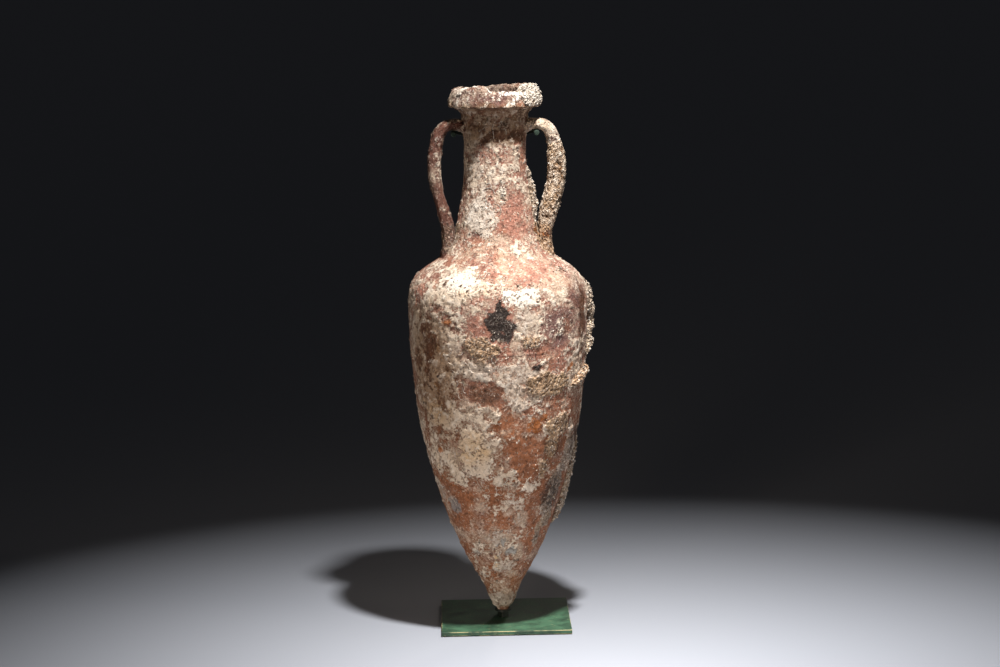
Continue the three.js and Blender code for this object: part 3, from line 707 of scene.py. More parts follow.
def givenOut(group, *values):
    leave = group.nodes.new("NodeGroupOutput")
    for value, socket in zip(values, leave.inputs):
        group.links.new(value, socket)
    return group


def mixColour(add, a, b, share, blend="MIX"):
    node = add("Mix", data_type="RGBA", blend_type=blend)
    tree = node.id_data
    for index, value in ((0, share), (6, a), (7, b)):
        if isinstance(value, bpy.types.NodeSocket):
            tree.links.new(value, node.inputs[index])
        else:
            node.inputs[index].default_value = value
    return node.outputs[2]


def signed(add, fac, reach):                 # a noise factor as about -1 to 1
    return ranged(add, fac, 0.5 - reach, 0.5 + reach, -1.0, 1.0, clamp=False)


def noise(add, at, scale, detail, roughness):
    return add("TexNoise", {"Vector": at, "Scale": scale, "Detail": detail, "Roughness": roughness})


def shaken(add, at, place, scale, detail, roughness, reach):    # at, moved about by a noise read at place
    bend = noise(add, place, scale, detail, roughness).outputs["Color"]
    centred = add("VectorMath", {0: bend, 1: (0.5, 0.5, 0.5)}, operation="SUBTRACT").outputs[0]
    push = add("VectorMath", {0: centred, "Scale": reach}, operation="SCALE").outputs[0]
    return add("VectorMath", {0: at, 1: push}).outputs[0]


def scattered(add, at, scale, size, keep):   # round spots in some of the cells
    cells = add("TexVoronoi", {"Vector": at, "Scale": scale, "Randomness": 1.0})
    spot = ranged(add, cells.outputs["Distance"], size, size * 0.4, 0.0, 1.0)
    draw = add("SeparateColor", {0: cells.outputs["Color"]}).outputs[0]
    return product(add, spot, add("Math", {0: draw, 1: 1 - keep}, operation="GREATER_THAN").outputs[0])


seaGrain = dict(                             # noises as scale, detail, roughness and reach
    bend=(160, 2, 0.5, 0.006), shred=(420, 3, 0.6, 0.014), blotch=(90, 3, 0.55, 0.2),
    fleck=(270, 5, 0.6, 0.22), grit=(1300, 2, 0.6, 0.25), thread=(210, 0.5, 0.4), threadWidth=0.03,
    threadFrom=(0.5, 0.62), granule=(430, 0.9), granuleFrom=(0.7, 0.1),
    pit=(210, 0.27, 0.2), splash=(100, 0.34, 0.34),    # spots as scale, size and how many cells have one
)


def seaGrainGroup():                         # the fine pattern of a sea-worn skin
    outputs = ("Blotch", "Fleck", "Grain", "Thread", "Pit", "Granule", "Splash")
    group, add, place = newGroup("sea grain", outputs)
    look = seaGrain
    at = shaken(add, place, place, *look["bend"])
    ragged = shaken(add, at, place, *look["shred"])
    noises = {name: noise(add, at, *look[name][:3]).outputs["Fac"] for name in ("blotch", "fleck", "grit")}
    blotch, fleck, grit = [signed(add, fac, look[name][3]) for name, fac in noises.items()]
    line = noise(add, at, *look["thread"]).outputs["Fac"]
    onThread = add("Math", {0: line, 1: 0.5, 2: look["threadWidth"]}, operation="COMPARE").outputs[0]
    thread = product(add, onThread, ranged(add, noises["blotch"], *look["threadFrom"], 0.0, 1.0))
    scale, randomness = look["granule"]
    beads = add("TexVoronoi", {"Vector": at, "Scale": scale, "Randomness": randomness}, feature="SMOOTH_F1")
    granule = ranged(add, beads.outputs["Distance"], *look["granuleFrom"], -1.0, 1.0, clamp=False)
    return givenOut(group, blotch, fleck, grit, thread, scattered(add, at, *look["pit"]), granule,
                    scattered(add, ragged, *look["splash"]))


def newMaterial(name, roughness):            # with its node adder, its shader and the place on the object
    material = bpy.data.materials.new(name)
    material.use_nodes = True
    shader = material.node_tree.nodes["Principled BSDF"]
    shader.inputs["Roughness"].default_value = roughness
    add = nodeAdder(material.node_tree)
    return material, add, shader, add("TexCoord").outputs["Object"]


def feed(shader, name, value):
    shader.id_data.links.new(value, shader.inputs[name])


def emboss(add, shader, height, strength, depth):
    bump = add("Bump", {"Strength": strength, "Distance": depth, "Height": height})
    feed(shader, "Normal", bump.outputs[0])


def opaque(code):
    return (*paint(code), 1)


clayLook = dict(
    lime=dict(blotch=0.2, fleck=0.24, grit=0.1, splash=0.42), stain=0.5, filmShare=0.66, shine=0.35,
    bump=1.0, bumpDepth=0.0015, limeRise=0.5,
    filmTone="#d6bda6", speckTone="#f0e6da", pitTone="#38251a", holeTone="#7a553f",
)
crustLook = dict(
    lime=dict(blotch=0.1, fleck=0.2, grit=0.1, splash=0.1), stain=0.3, filmShare=0.2, shine=0.3,
    bump=1.0, bumpDepth=0.0016, limeRise=0.2,
    filmTone="#d9c8ae", speckTone="#f1e8da", pitTone="#3f2b1c", holeTone="#7d5b40",
)
seaMasks = dict(                             # what is added to it, and where it begins and is full
    film=(dict(fleck=0.3, blotch=-0.3, grit=0.2), 0.2, 0.9),
    stain=(dict(fleck=0.9, grit=0.3), 0.4, 1.3),
    flour=(dict(grit=0.6, film=0.5, blotch=-0.4), 0.85, 1.25),
    hole=(dict(blotch=0.7), -0.45, -0.9),
)
seaVaried = dict(clay=dict(fleck=0.35, grit=0.35, blotch=0.25), coat=dict(fleck=0.13, grit=0.22, blotch=0.08))
seaRelief = dict(fleck=0.45, grit=0.2, blotch=0.3, thread=0.5, pit=-0.9, hole=-0.4, grown=1.1)
# grown: how strongly crust granules are painted light on top and dark between
seaShare = dict(flour=0.8, hole=0.8, thread=0.35, pit=0.75, grown=0.38)
limeEdge, bareRoughness, limeRoughness = (0.44, 0.57), 0.58, 0.9


def step(add, value, low, high, top=1.0):
    return ranged(add, value, low, high, 0.0, top, interpolation_type="SMOOTHSTEP")


def varied(add, colour, *pairs):             # a colour made lighter and darker by weighted noises
    grey = weighted(add, 1.0, *pairs)
    triple = add("CombineColor", {0: grey, 1: grey, 2: grey}).outputs[0]
    return mixColour(add, colour, triple, 1.0, "MULTIPLY")


def seaWorn(label, look, grain):
    material, add, shader, place = newMaterial(label, limeRoughness)
    under, upper, layers = [add("Attribute", attribute_name=tone).outputs["Color"]
                            for tone in ("clayTone", "limeTone", "layers")]
    lime, film, crust = add("SeparateColor", {0: layers}).outputs[:3]
    fine = add("Group", {"Place": place}, node_tree=grain).outputs[:7]
    parts = dict(zip(("blotch", "fleck", "grit", "thread", "pit", "granule", "splash"), fine), film=film)

    def pairs(weights):
        return [(parts[name], weight) for name, weight in weights.items()]

    def mask(name, first, top):
        weights, low, high = seaMasks[name]
        return step(add, weighted(add, first, *pairs(weights)), low, high, top)

    # bare clay, with a thin film, stains and flour
    colour = varied(add, under, *pairs(seaVaried["clay"]))
    for tone, share in (("filmTone", mask("film", film, look["filmShare"])),
                        ("pitTone", mask("stain", parts["blotch"], look["stain"])),
                        ("speckTone", mask("flour", parts["fleck"], seaShare["flour"]))):
        colour = mixColour(add, colour, opaque(look[tone]), share)

    # the coat of lime on it, with its holes, and then threads, pits and granules on both; crust granules are
    # painted lighter on top and darker between, as painted light and shade
    cover = step(add, weighted(add, lime, *pairs(look["lime"])), *limeEdge)
    parts["hole"] = mask("hole", parts["fleck"], seaShare["hole"])
    parts["grown"] = product(add, parts["granule"], crust)
    coat = varied(add, upper, *pairs(seaVaried["coat"]))
    colour = mixColour(add, colour, mixColour(add, coat, opaque(look["holeTone"]), parts["hole"]), cover)
    for name, tone in (("thread", "speckTone"), ("pit", "pitTone")):
        colour = mixColour(add, colour, opaque(look[tone]), product(add, parts[name], seaShare[name]))
    # painted highlight and shade: crust granules lighter at their middles and darker in the gaps
    feed(shader, "Base Color", varied(add, colour, (parts["grown"], seaShare["grown"])))
    feed(shader, "Roughness", ranged(add, cover, 0.0, 1.0, bareRoughness, limeRoughness))
    shader.inputs["Specular IOR Level"].default_value = look["shine"]
    height = weighted(add, 0.0, (cover, look["limeRise"]), *pairs(seaRelief))
    emboss(add, shader, height, look["bump"], look["bumpDepth"])
    return material


wornPaint = dict(                            # noises as scale, detail and roughness
    patchy=(38, 6, 0.65), fine=(620, 4, 0.7), chips=(240, 6, 0.72), lines=(3.0, 3, 0.7),
    stretched=(22.0, 150.0, 150.0), chipEdge=(0.6, 0.68), scratchEdge=(0.66, 0.72), dustEdge=(0.5, 0.75),
    rubbedEdge=(0.4, 0.6), toneEdge=(0.36, 0.64), roughness=(0.3, 0.7, 0.4, 0.62),
    chipDepth=-0.6, bump=0.3, bumpDepth=0.0003,
)


def paintGroup():                            # worn paint: patches, chips, scratches, dust and its fine relief
    group, add, at = newGroup("worn paint", ("Patchy", "Chips", "Scratch", "Dust", "Relief"))
    look = wornPaint
    along = add("VectorMath", {0: at, 1: look["stretched"]}, operation="MULTIPLY").outputs[0]
    patchy, fine, chips, lines = [noise(add, place, *look[name]).outputs["Fac"] for name, place in (
        ("patchy", at), ("fine", at), ("chips", at), ("lines", along))]
    chipped, scratched, dusty = [step(add, noiseValue, *look[edge]) for noiseValue, edge in (
        (chips, "chipEdge"), (lines, "scratchEdge"), (fine, "dustEdge"))]
    return givenOut(group, patchy, chipped, scratched, dusty, fine)


def paintedSteel(name, look, group):
    material, add, shader, place = newMaterial(name, 0.5)
    patchy, chips, scratch, dust, relief = add("Group", {"Place": place}, node_tree=group).outputs[:5]
    edge = add("Attribute", attribute_name="edge").outputs["Fac"]
    rubbed = product(add, edge, step(add, patchy, *wornPaint["rubbedEdge"]))
    bare = weighted(add, 0.0, (chips, look["chipShare"]), (scratch, look["chipShare"]), (rubbed, 1.0))
    capped = add("Clamp", {"Value": bare}).outputs[0]
    lighter = step(add, patchy, *wornPaint["toneEdge"])
    colour = mixColour(add, opaque(look["dark"]), opaque(look["light"]), lighter)
    colour = mixColour(add, colour, opaque(look["dust"]), product(add, dust, look["dustShare"]))
    feed(shader, "Base Color", mixColour(add, colour, opaque(look["bare"]), capped))
    feed(shader, "Roughness", ranged(add, patchy, *wornPaint["roughness"]))
    height = weighted(add, relief, (capped, wornPaint["chipDepth"]))
    emboss(add, shader, height, wornPaint["bump"], wornPaint["bumpDepth"])
    return material


def softMaterial(name, light, dark, scale, roughness, depth):
    material, add, shader, place = newMaterial(name, roughness)
    fibre = noise(add, place, scale, 6, 0.7).outputs["Fac"]
    feed(shader, "Base Color", mixColour(add, opaque(dark), opaque(light), fibre))
    emboss(add, shader, fibre, 0.6, depth)
    return material


grain = seaGrainGroup()
wear = paintGroup()
clay = seaWorn("sea-worn clay", clayLook, grain)
crustStone = seaWorn("sea crust", crustLook, grain)
greenLook = dict(light="#386047", dark="#203d2d", dust="#7c9076", bare="#b9a67a",
                 dustShare=0.3, chipShare=0.5)
# a darker copy of the stand's green paint for the post, saucer, rods and welds: partly darker paint, partly
# painted shade
darkShadedLook = dict(light="#16281e", dark="#0a1410", dust="#3c4a3b", bare="#6b523c",
                dustShare=0.12, chipShare=0.35)
greenPaint = paintedSteel("green paint", greenLook, wear)
darkShadedPaint = paintedSteel("dark green paint with painted shade", darkShadedLook, wear)
felt = softMaterial("black felt", "#2c2c2a", "#0d0d0c", 1600, 0.95, 0.0004)
leather = softMaterial("brown leather", "#5d4330", "#2f2018", 900, 0.7, 0.0003)
sleeveCloth = softMaterial("dark green sleeve", "#2a3f33", "#131f19", 1200, 0.85, 0.0003)
print("materials are made")


# The turned clay pieces
def insideDown(high, low):
    return [tuple(point) for point in stretch(inside, low, high, jar["insideStep"])[::-1][1:-1]]


def skinUp(low, high):
    return [tuple(point) for point in stretch(skin, low, high, jar["skinStep"])]


def buildShells():
    tip = jar["toeHeight"]
    spigotTop = seams["toe"] + jar["spigotLength"]
    rings = [(r, tip) for r in np.linspace(0, skin[0, 0], 6)[:-1]]
    toe = rings + skinUp(tip, seams["toe"])
    toe += [(jar["spigotRadius"], seams["toe"]), (jar["spigotRadius"], spigotTop), (0, spigotTop)]
    socket, floor = jar["spigotRadius"] + jar["gap"], spigotTop + jar["gap"]
    lower = skinUp(seams["toe"], seams["girth"]) + tongue(seams["girth"])
    lower += insideDown(seams["girth"] + jar["lap"], floor)
    lower += [(insideRadius(floor), floor), (socket, floor), (socket, seams["toe"])]
    upper = skinUp(seams["girth"], seams["shoulder"]) + tongue(seams["shoulder"])
    foot = jar["lap"] + jar["gap"]
    upper += insideDown(seams["shoulder"] + jar["lap"], seams["girth"] + foot) + rebate(seams["girth"])
    neck = skinUp(seams["shoulder"], seams["neck"]) + tongue(seams["neck"])
    neck += insideDown(seams["neck"] + jar["lap"], seams["shoulder"] + foot) + rebate(seams["shoulder"])
    for name, profile, closed in (("toe", toe, False), ("body_lower", lower, True),
                                  ("body_upper", upper, True), ("neck", neck, True)):
        made = turnedPiece("worn_" + name, profile, closed)
        places, layers = weatherTurned(made)
        dressed(made, places, layers, [name], clay)
        print("turned", name, len(made.data.polygons), "faces")


buildShells()


# The collar rim, with its outline as shares of its sizes, and its worn lip every 22.5 degrees
rim = dict(
    underside=11.5, face=31.5, lowerRadius=72.5, upperRadius=67.0, mouthRadius=45.0, step=1.5, rounding=1.4,
    coveShare=[(.17, .5), (.42, .83), (.96, .97)],
    faceShare=[(.08, 0), (.3, .2), (.6, .6), (.84, 1), (.95, 1.6)],
    lipShare=[(.62, 1), (.3, .97), (.08, .86)],
    topShare=[.02, .03, .03, 0, -.04, -.2, -.1, -.04, -.1, -.06, 0, .1, -.17, -.22, -.2, -.03],
    innerLip=7, innerFrom=12, bareInside=0.28, junction=(5, 0), junctionWide=4,
    # under...: a band of painted shade just under the lip's edge, darker and with less lime
    underEdge=(2.6, 0.6), underWide=6, underSize=12, underPatchy=(-0.4, 0.3), underShade=0.8, limeLessUnderRim=0.25,
    chipDepth=2.2, chipSize=11, chipEdge=(0.1, 0.9), chipRough=1.0, roughSize=5, lipEdge=(0.55, 0.95),
    growth=2.2, growthSize=9, growthFrom=-105, growthTo=-25, growthFade=25, growthFace=(0.3, 0.7),
    growthEdge=(-0.5, 0.7),
)


def rimTop(azimuth):                         # worn lip, as a share of the face's height
    shares = np.array(rim["topShare"])
    at = (azimuth / (2 * math.pi)) % 1 * len(shares)
    low = np.floor(at).astype(int) % len(shares)
    ease = (1 - np.cos((at - np.floor(at)) * math.pi)) / 2
    return shares[low] + (shares[(low + 1) % len(shares)] - shares[low]) * ease


def rimProfile(start, edge):
    lower, upper, mouth = rim["lowerRadius"], rim["upperRadius"], rim["mouthRadius"]
    neck, face, spacing = jar["neckTopRadius"], rim["face"], rim["step"] / 2
    line = [(neck, start)]
    line += [(neck + (lower - neck) * out, start + rim["underside"] * up) for out, up in rim["coveShare"]]
    line += [(lower - (lower - upper) * lean, edge + face * up) for up, lean in rim["faceShare"]]
    line += [(mouth + (upper - mouth) * out, edge + face * up) for out, up in rim["lipShare"]]
    line += [(mouth, edge + face / 2)]
    line = eased(resampled(line, spacing), rim["rounding"], spacing)[::2]
    line[0] = (neck, start)
    return [tuple(point) for point in line] + rebate(start)


def lipWear(places, above):                  # chips, less the growth on the front
    face = above / rim["face"]
    chip = rim["chipDepth"] * ramp(*rim["chipEdge"], layeredNoise(places, rim["chipSize"], 2, 91))
    chip += rim["chipRough"] * layeredNoise(places, rim["roughSize"], 2, 93)
    degrees, fade = np.degrees(azimuthOf(places)), rim["growthFade"]
    grown = ramp(rim["growthFrom"], rim["growthFrom"] + fade, degrees)
    grown *= ramp(rim["growthTo"], rim["growthTo"] - fade, degrees) * ramp(*rim["growthFace"], face)
    grown *= ramp(*rim["growthEdge"], layeredNoise(places, rim["growthSize"], 3, 97))
    return chip * ramp(*rim["lipEdge"], face) - rim["growth"] * grown


def buildRim():
    start = seams["neck"]
    edge = start + rim["underside"]
    made = turnedPiece("worn_rim", rimProfile(start, edge), True)
    places, normals = placesOf(made.data), normalsOf(made.data)
    above = np.maximum(places[:, 2] - edge, 0)
    places[:, 2] += above * rimTop(azimuthOf(places))
    radius, height = radiusOf(places), places[:, 2]
    inner = (radius < rim["mouthRadius"] + rim["innerLip"]) & (height > start + rim["innerFrom"])
    proud, layers = weathered(places, inner)
    # painted shade: a dark band just under the rim's lip edge, painted with the pit tone, with less lime
    # there
    under = ramp(*rim["underEdge"], np.abs(height - edge + 1))
    under *= radius > rim["lowerRadius"] - rim["underWide"]
    under *= ramp(*rim["underPatchy"], layeredNoise(places, rim["underSize"], 2, 96))
    layers["clay"] = mixed(layers["clay"], tones["pit"], rim["underShade"] * under)
    layers["lime"] = layers["lime"] - rim["bareInside"] * inner - rim["limeLessUnderRim"] * under
    hidden = (height < start + jar["lap"] + 1) & (radius < jar["neckTopRadius"] - 0.5)
    hidden |= (np.abs(height - start) < 0.01) & (radius < jar["neckTopRadius"] - 0.01)
    junction = ramp(*rim["junction"], height - start) * (radius < jar["neckTopRadius"] + rim["junctionWide"])
    shift = normals * (proud - lipWear(places, above))[:, None]
    shift += (radial(places) * -jar["settle"] - shift) * junction[:, None]
    shift[hidden] = 0
    dressed(made, within(places + shift), layers, ["rim_collar"], clay)
    print("turned the rim", len(made.data.polygons), "faces")


buildRim()


# The strap handles: a path from the neck to the shoulder and the share of thickness and width along it
strap = dict(
    reach=105.5, thickness=21.5, width=38.0, archDrop=16.0, rootRadius=80.0, square=0.7,
    step=2.0, around=60, rounding=4.0, rootDepth=6.0, lumps=0.8, lumpSize=22, patchy=0.28, patchSize=26,
    toneShare=0.8, filmLess=0.25, topHighlightLime=(0.2, 0.3, 0.9), rootLime=(0.3, 76, 58), rootAbove=700,
    barer=dict(handle_left=0.26, handle_right=-0.08),
    path=[(-.17, .97), (.1, .994), (.34, 1), (.53, .994), (.69, .971), (.82, .927), (.91, .867), (.965, .8),
          (.99, .72), (1, .62), (.96, .53), (.9, .465), (.83, .4), (.71, .305), (.6, .205), (.55, .11),
          (.56, .02), (.62, -.08)],
    section=[(1.1, 1.3), (.92, 1.1), (.82, 1), (.84, .98), (.9, .97), (.96, .96), (1, .96), (1, .96),
             (1, .96), (1, .96), (.98, .96), (.96, .96), (.94, .97), (.94, 1), (.98, 1.06), (1.05, 1.18),
             (1.15, 1.35), (1.25, 1.5)],
)


def strapStations():
    shoulder = (skin[:, 1] > jar["toeHeight"] + jar["bellyHeight"]) & (skin[:, 1] < seams["shoulder"])
    root = np.interp(-strap["rootRadius"], -skin[shoulder, 0], skin[shoulder, 1])
    reach = strap["reach"] - strap["thickness"] / 2 - jar["neckWaistRadius"]
    rise = seams["neck"] - strap["archDrop"] - root
    line = [(jar["neckWaistRadius"] + reach * out, root + rise * up, thick, wide)
            for (out, up), (thick, wide) in zip(strap["path"], strap["section"])]
    return eased(resampled(line, strap["step"]), strap["rounding"], strap["step"])


def flattened(swing):                        # a circle's sine or cosine, squared off for a strap
    return math.copysign(abs(swing) ** strap["square"], swing)


def strapTube(stations, side):               # a grid wrapped into a tube, with both ends closed
    rows = len(stations)
    along = np.gradient(stations[:, :2], axis=0)
    along /= np.linalg.norm(along, axis=1)[:, None]
    sheet = bmesh.new()
    bmesh.ops.create_grid(sheet, x_segments=strap["around"], y_segments=rows - 1, size=0.5)
    for vert in sheet.verts:
        i = min(rows - 1, int(round((vert.co.y + 0.5) * (rows - 1))))
        turn = (vert.co.x + 0.5) * 2 * math.pi
        x, z, thick, wide = stations[i]
        out = flattened(math.cos(turn)) * strap["thickness"] / 2 * thick
        across = flattened(math.sin(turn)) * strap["width"] / 2 * wide
        vert.co = (side * (x - along[i, 1] * out) * mm, across * mm, (z + along[i, 0] * out) * mm)
    bmesh.ops.remove_doubles(sheet, verts=sheet.verts, dist=1e-5)
    bmesh.ops.holes_fill(sheet, edges=[edge for edge in sheet.edges if edge.is_boundary], sides=0)
    bmesh.ops.recalc_face_normals(sheet, faces=sheet.faces)
    return sheet


def rootedInSkin(places):                    # no deeper under the jar's skin than rootDepth
    away = np.hypot(radiusOf(places)[:, None] - skin[None, :, 0], places[:, 2:] - skin[None, :, 1])
    nearest = skin[away.argmin(1)]
    out = outwardAt(nearest[:, 1])
    depth = (nearest[:, 0] - radiusOf(places)) * out[:, 0] + (nearest[:, 1] - places[:, 2]) * out[:, 1]
    lift = np.maximum(depth - strap["rootDepth"], 0)
    return places + skinNormals(places, out) * lift[:, None]


def buildHandle(side, name):
    made = objectFrom(strapTube(strapStations(), side), "worn_" + name)
    places, normals = placesOf(made.data), normalsOf(made.data)
    proud, layers = weathered(places, np.zeros(len(places), bool))
    places += normals * (proud + strap["lumps"] * layeredNoise(places, strap["lumpSize"], 2, 95))[:, None]
    # painted highlight: more lime on the strap's upward faces, so its top reads lighter
    layers["lime"] += (faded(normals[:, 2], *strap["topHighlightLime"]) - strap["barer"][name]
                       + strap["patchy"] * layeredNoise(places, strap["patchSize"], 2, 97)
                       + faded(radiusOf(places), *strap["rootLime"]) * (places[:, 2] > strap["rootAbove"]))
    layers["clay"] = mixed(layers["clay"], tones["handleClay"], np.full(len(places), strap["toneShare"]))
    layers["film"] -= strap["filmLess"]
    dressed(made, rootedInSkin(places), layers, [name], clay)
    print("drew", name, len(made.data.polygons), "faces")


buildHandle(-1, "handle_left")
buildHandle(1, "handle_right")


# Crusts: the solids' shapes, remeshed fine and swollen into lumps and holes, with grains on them
def mergedCopy(node):
    sheet = bmesh.new()
    sheet.from_mesh(nodes[node].data)
    bmesh.ops.remove_doubles(sheet, verts=sheet.verts, dist=2e-5)
    return sheet


crusts = dict(
    crust_shoulder=dict(voxel=1.25, lump=8.0, rise=1.9, deep="crustDeep", light="lime", grains=260, seed=1),
    crust_knob=dict(voxel=1.1, lump=8.0, rise=1.9, deep="crustDeep", light="crust", grains=110, seed=2),
    crust_neck=dict(voxel=1.25, lump=7.0, rise=1.7, deep="crustDeep", light="lime", grains=230, seed=3),
    crust_rim=dict(voxel=1.2, lump=12.0, rise=1.2, deep="lime", light="white", grains=90, seed=4,
                   sink=6.0, fade=(17, 1), fadeSize=12, ragged=8, core=58.0, coreShare=0.45),
    crust_handle=dict(voxel=1.3, lump=11.0, rise=1.2, deep="olive", light="lime", grains=130, seed=5,
                      sink=4.5, fade=(42, 6), fadeSize=13, ragged=14, bareShare=(0.8, 0.4, 0.7)),
    crust_lower=dict(voxel=1.4, lump=7.0, rise=1.4, deep="olive", light="lime", grains=260, seed=6,
                     slot="crust_grey"),
)
growth = dict(
    grainSize=(0.7, 2.3), fewLarge=2.2, lift=0.15, shape=((0.8, 1.3), (0.7, 1.1), (0.55, 0.95)),
    swell=1.5, swellFrom=0.7, under=0.3, inner=1.6,    # lumps outside, evenly swollen on the hidden side
    paleSize=4, deepShare=0.8, beadTones=dict(paleEdge=(-0.3, 0.5), deepSize=5, deepEdge=(0.3, 0.8)),
)


def solidLayers(colour, deep):               # for pieces that are all crust
    count = len(colour)
    return dict(clay=mixed(colour, tones[deep], np.full(count, 0.6)), coat=colour, lime=np.full(count, 0.6),
                film=np.zeros(count), crust=np.ones(count))


def grainTones(places, tone, look):
    pale = ramp(*look["paleEdge"], softNoise(places, growth["paleSize"], 170))
    deep = growth["deepShare"] * ramp(*look["deepEdge"], softNoise(places, look["deepSize"], 171))
    return mixed(mixed(plain(tone, places), tones["white"], pale), tones["crustDeep"], deep)


def grainCloud(name, places, normals, size, rng):    # one lumpy grain on each place, as a single mesh
    sheet = bmesh.new()
    bmesh.ops.create_icosphere(sheet, subdivisions=2, radius=mm)
    made = objectFrom(sheet, name)
    count, corners = len(places), len(made.data.vertices)
    row = made.modifiers.new("row", "ARRAY")
    row.count, row.use_relative_offset = count, False
    applied(made)
    radius = size[0] + (size[1] - size[0]) * rng.random(count) ** growth["fewLarge"]
    shape = np.stack([rng.uniform(*reach, count) for reach in growth["shape"]], 1)
    turns = np.linalg.qr(rng.normal(size=(count, 3, 3)))[0]
    turns[:, :, 0] *= np.sign(np.linalg.det(turns))[:, None]
    ball = placesOf(made.data).reshape(count, corners, 3) * (shape * radius[:, None])[:, None, :]
    spots = places + normals * (radius * growth["lift"])[:, None]
    setPlaces(made.data, (np.einsum("nij,nkj->nki", turns, ball) + spots[:, None, :]).reshape(-1, 3))
    return made


def handleInward(places, look):              # the way to the strap's middle, and how far the coat thins out
    stations = strapStations()
    nearest = np.linalg.norm(places[:, None, [0, 2]] - stations[None, :, :2], axis=2).argmin(1)
    middle = np.stack([stations[nearest, 0], np.zeros(len(places)), stations[nearest, 1]], 1)
    end = np.minimum(nearest - nearest.min(), nearest.max() - nearest) * strap["step"]
    ragged = layeredNoise(places, look["fadeSize"], 3, 230)
    thin = np.maximum(ramp(*look["fade"], end + look["ragged"] * ragged), faded(ragged, *look["bareShare"]))
    return unit(middle - places), thin


def rimInward(places, look):                 # the same for the middle of the rim's wall
    azimuth = azimuthOf(places)
    end = np.minimum(azimuth - azimuth.min(), azimuth.max() - azimuth) * rim["lowerRadius"]
    middle = radial(places) * look["core"]
    middle[:, 2] = seams["neck"] + rim["underside"] + rim["face"] * look["coreShare"]
    ragged = layeredNoise(places, look["fadeSize"], 3, 231)
    return unit(middle - places), ramp(*look["fade"], end + look["ragged"] * ragged)


def buildCrust(node, look):
    made = objectFrom(mergedCopy(node), "grown_" + node)
    remesh = made.modifiers.new("remesh", "REMESH")
    remesh.mode, remesh.voxel_size, remesh.adaptivity = "VOXEL", look["voxel"] * mm, 0
    applied(made)
    mesh = made.data
    places, normals = placesOf(mesh), normalsOf(mesh)
    relief, hole = crustRelief(places, look["lump"], 100 + look["seed"])
    colour = crustTones(look["deep"], look["light"], relief, hole, places, 160 + look["seed"])
    swell = look["rise"] * (growth["swell"] * relief - growth["swellFrom"]) - growth["under"]
    outside = (normals * radial(places)).sum(1) > -0.2
    if "sink" in look:
        inward, thin = (handleInward if node == "crust_handle" else rimInward)(places, look)
        if node == "crust_handle":
            outside = (normals * inward).sum(1) < 0.35
        places += inward * (look["sink"] * thin)[:, None]
    places += normals * np.where(outside, swell, growth["inner"])[:, None]
    rng = np.random.default_rng(look["seed"])
    picked = rng.choice(np.flatnonzero(outside), look["grains"])
    beads = grainCloud("beads", places[picked], normals[picked], growth["grainSize"], rng)
    setPlaces(mesh, places)
    whole = bmesh.new()
    whole.from_mesh(mesh)
    whole.from_mesh(beads.data)
    whole.to_mesh(mesh)
    whole.free()
    bpy.data.objects.remove(beads)
    everyPlace = within(placesOf(mesh))
    beadColour = grainTones(everyPlace[len(places):], look["light"], growth["beadTones"])
    colour = np.concatenate([colour, beadColour])
    layers = solidLayers(colour, look["deep"])
    dressed(made, everyPlace, layers, [node], crustStone)
    print("grew", node, len(mesh.polygons), "faces")


for nodeName, crustLooks in crusts.items():
    buildCrust(nodeName, crustLooks)


# Loose growth on the clay: grains on the grown patches and worm tubes
def onSkin(degrees, height, lift):
    azimuth = math.radians(degrees)
    radius = float(radiusAt(height))
    out = outwardAt(np.array([height]))[0]
    normal = Vector((math.cos(azimuth) * out[0], math.sin(azimuth) * out[0], out[1]))
    place = Vector((math.cos(azimuth) * radius, math.sin(azimuth) * radius, height))
    return place + normal * (lift - jar["settle"]), normal


grains = dict(count=900, size=(0.5, 1.7), spread=0.55, lift=0.9, aboveTip=20, belowRim=4, seed=21,
              wild=500, wildLift=0.6, wildLowest=60,
              tones=dict(paleEdge=(-0.4, 0.5), deepSize=6, deepEdge=(0.35, 0.8)))


def buildGrains():
    rng = random.Random(grains["seed"])
    highest = seams["neck"] - grains["belowRim"]
    spots = []
    for _ in range(grains["count"]):
        _, degrees, height, wide, high, _ = rng.choice(weather["grown"])
        reach = math.degrees(wide / float(radiusAt(height)))
        d, h = rng.gauss(degrees, reach * grains["spread"]), rng.gauss(height, high * grains["spread"])
        if jar["toeHeight"] + grains["aboveTip"] < h < highest:
            spots.append(onSkin(d, h, grains["lift"]))
    for _ in range(grains["wild"]):
        degrees, height = rng.uniform(0, 360), rng.uniform(grains["wildLowest"], highest)
        spots.append(onSkin(degrees, height, grains["wildLift"]))
    places = np.array([tuple(place) for place, _ in spots])
    normals = np.array([tuple(normal) for _, normal in spots])
    made = grainCloud("shell_grains", places, normals, grains["size"], np.random.default_rng(grains["seed"]))
    places = placesOf(made.data)
    colour = grainTones(places, "lime", grains["tones"])
    dressed(made, kept(places), solidLayers(colour, "crustDeep"), [], crustStone)
    print("scattered", len(spots), "grains")


buildGrains()

worms = dict(                                # a centre is degrees, height, width and height of where they lie
    count=170, radius=0.62, stepLength=1.5, steps=(8, 20), bend=0.5, wander=0.22, spread=(0.5, 0.6),
    lift=0.5, wave=0.25, taper=0.45, lowest=70, belowRim=8, seed=33,
    centres=[(-102, 461, 24, 14), (-56, 398, 34, 18), (-44, 331, 22, 18), (-75, 537, 30, 20),
             (-100, 560, 40, 16), (-95, 700, 30, 50), (-110, 640, 20, 20), (-120, 430, 30, 40),
             (-90, 800, 30, 12), (-90, 250, 40, 20), (40, 460, 60, 50), (140, 420, 60, 60),
             (90, 560, 40, 20), (170, 330, 40, 60)],
)


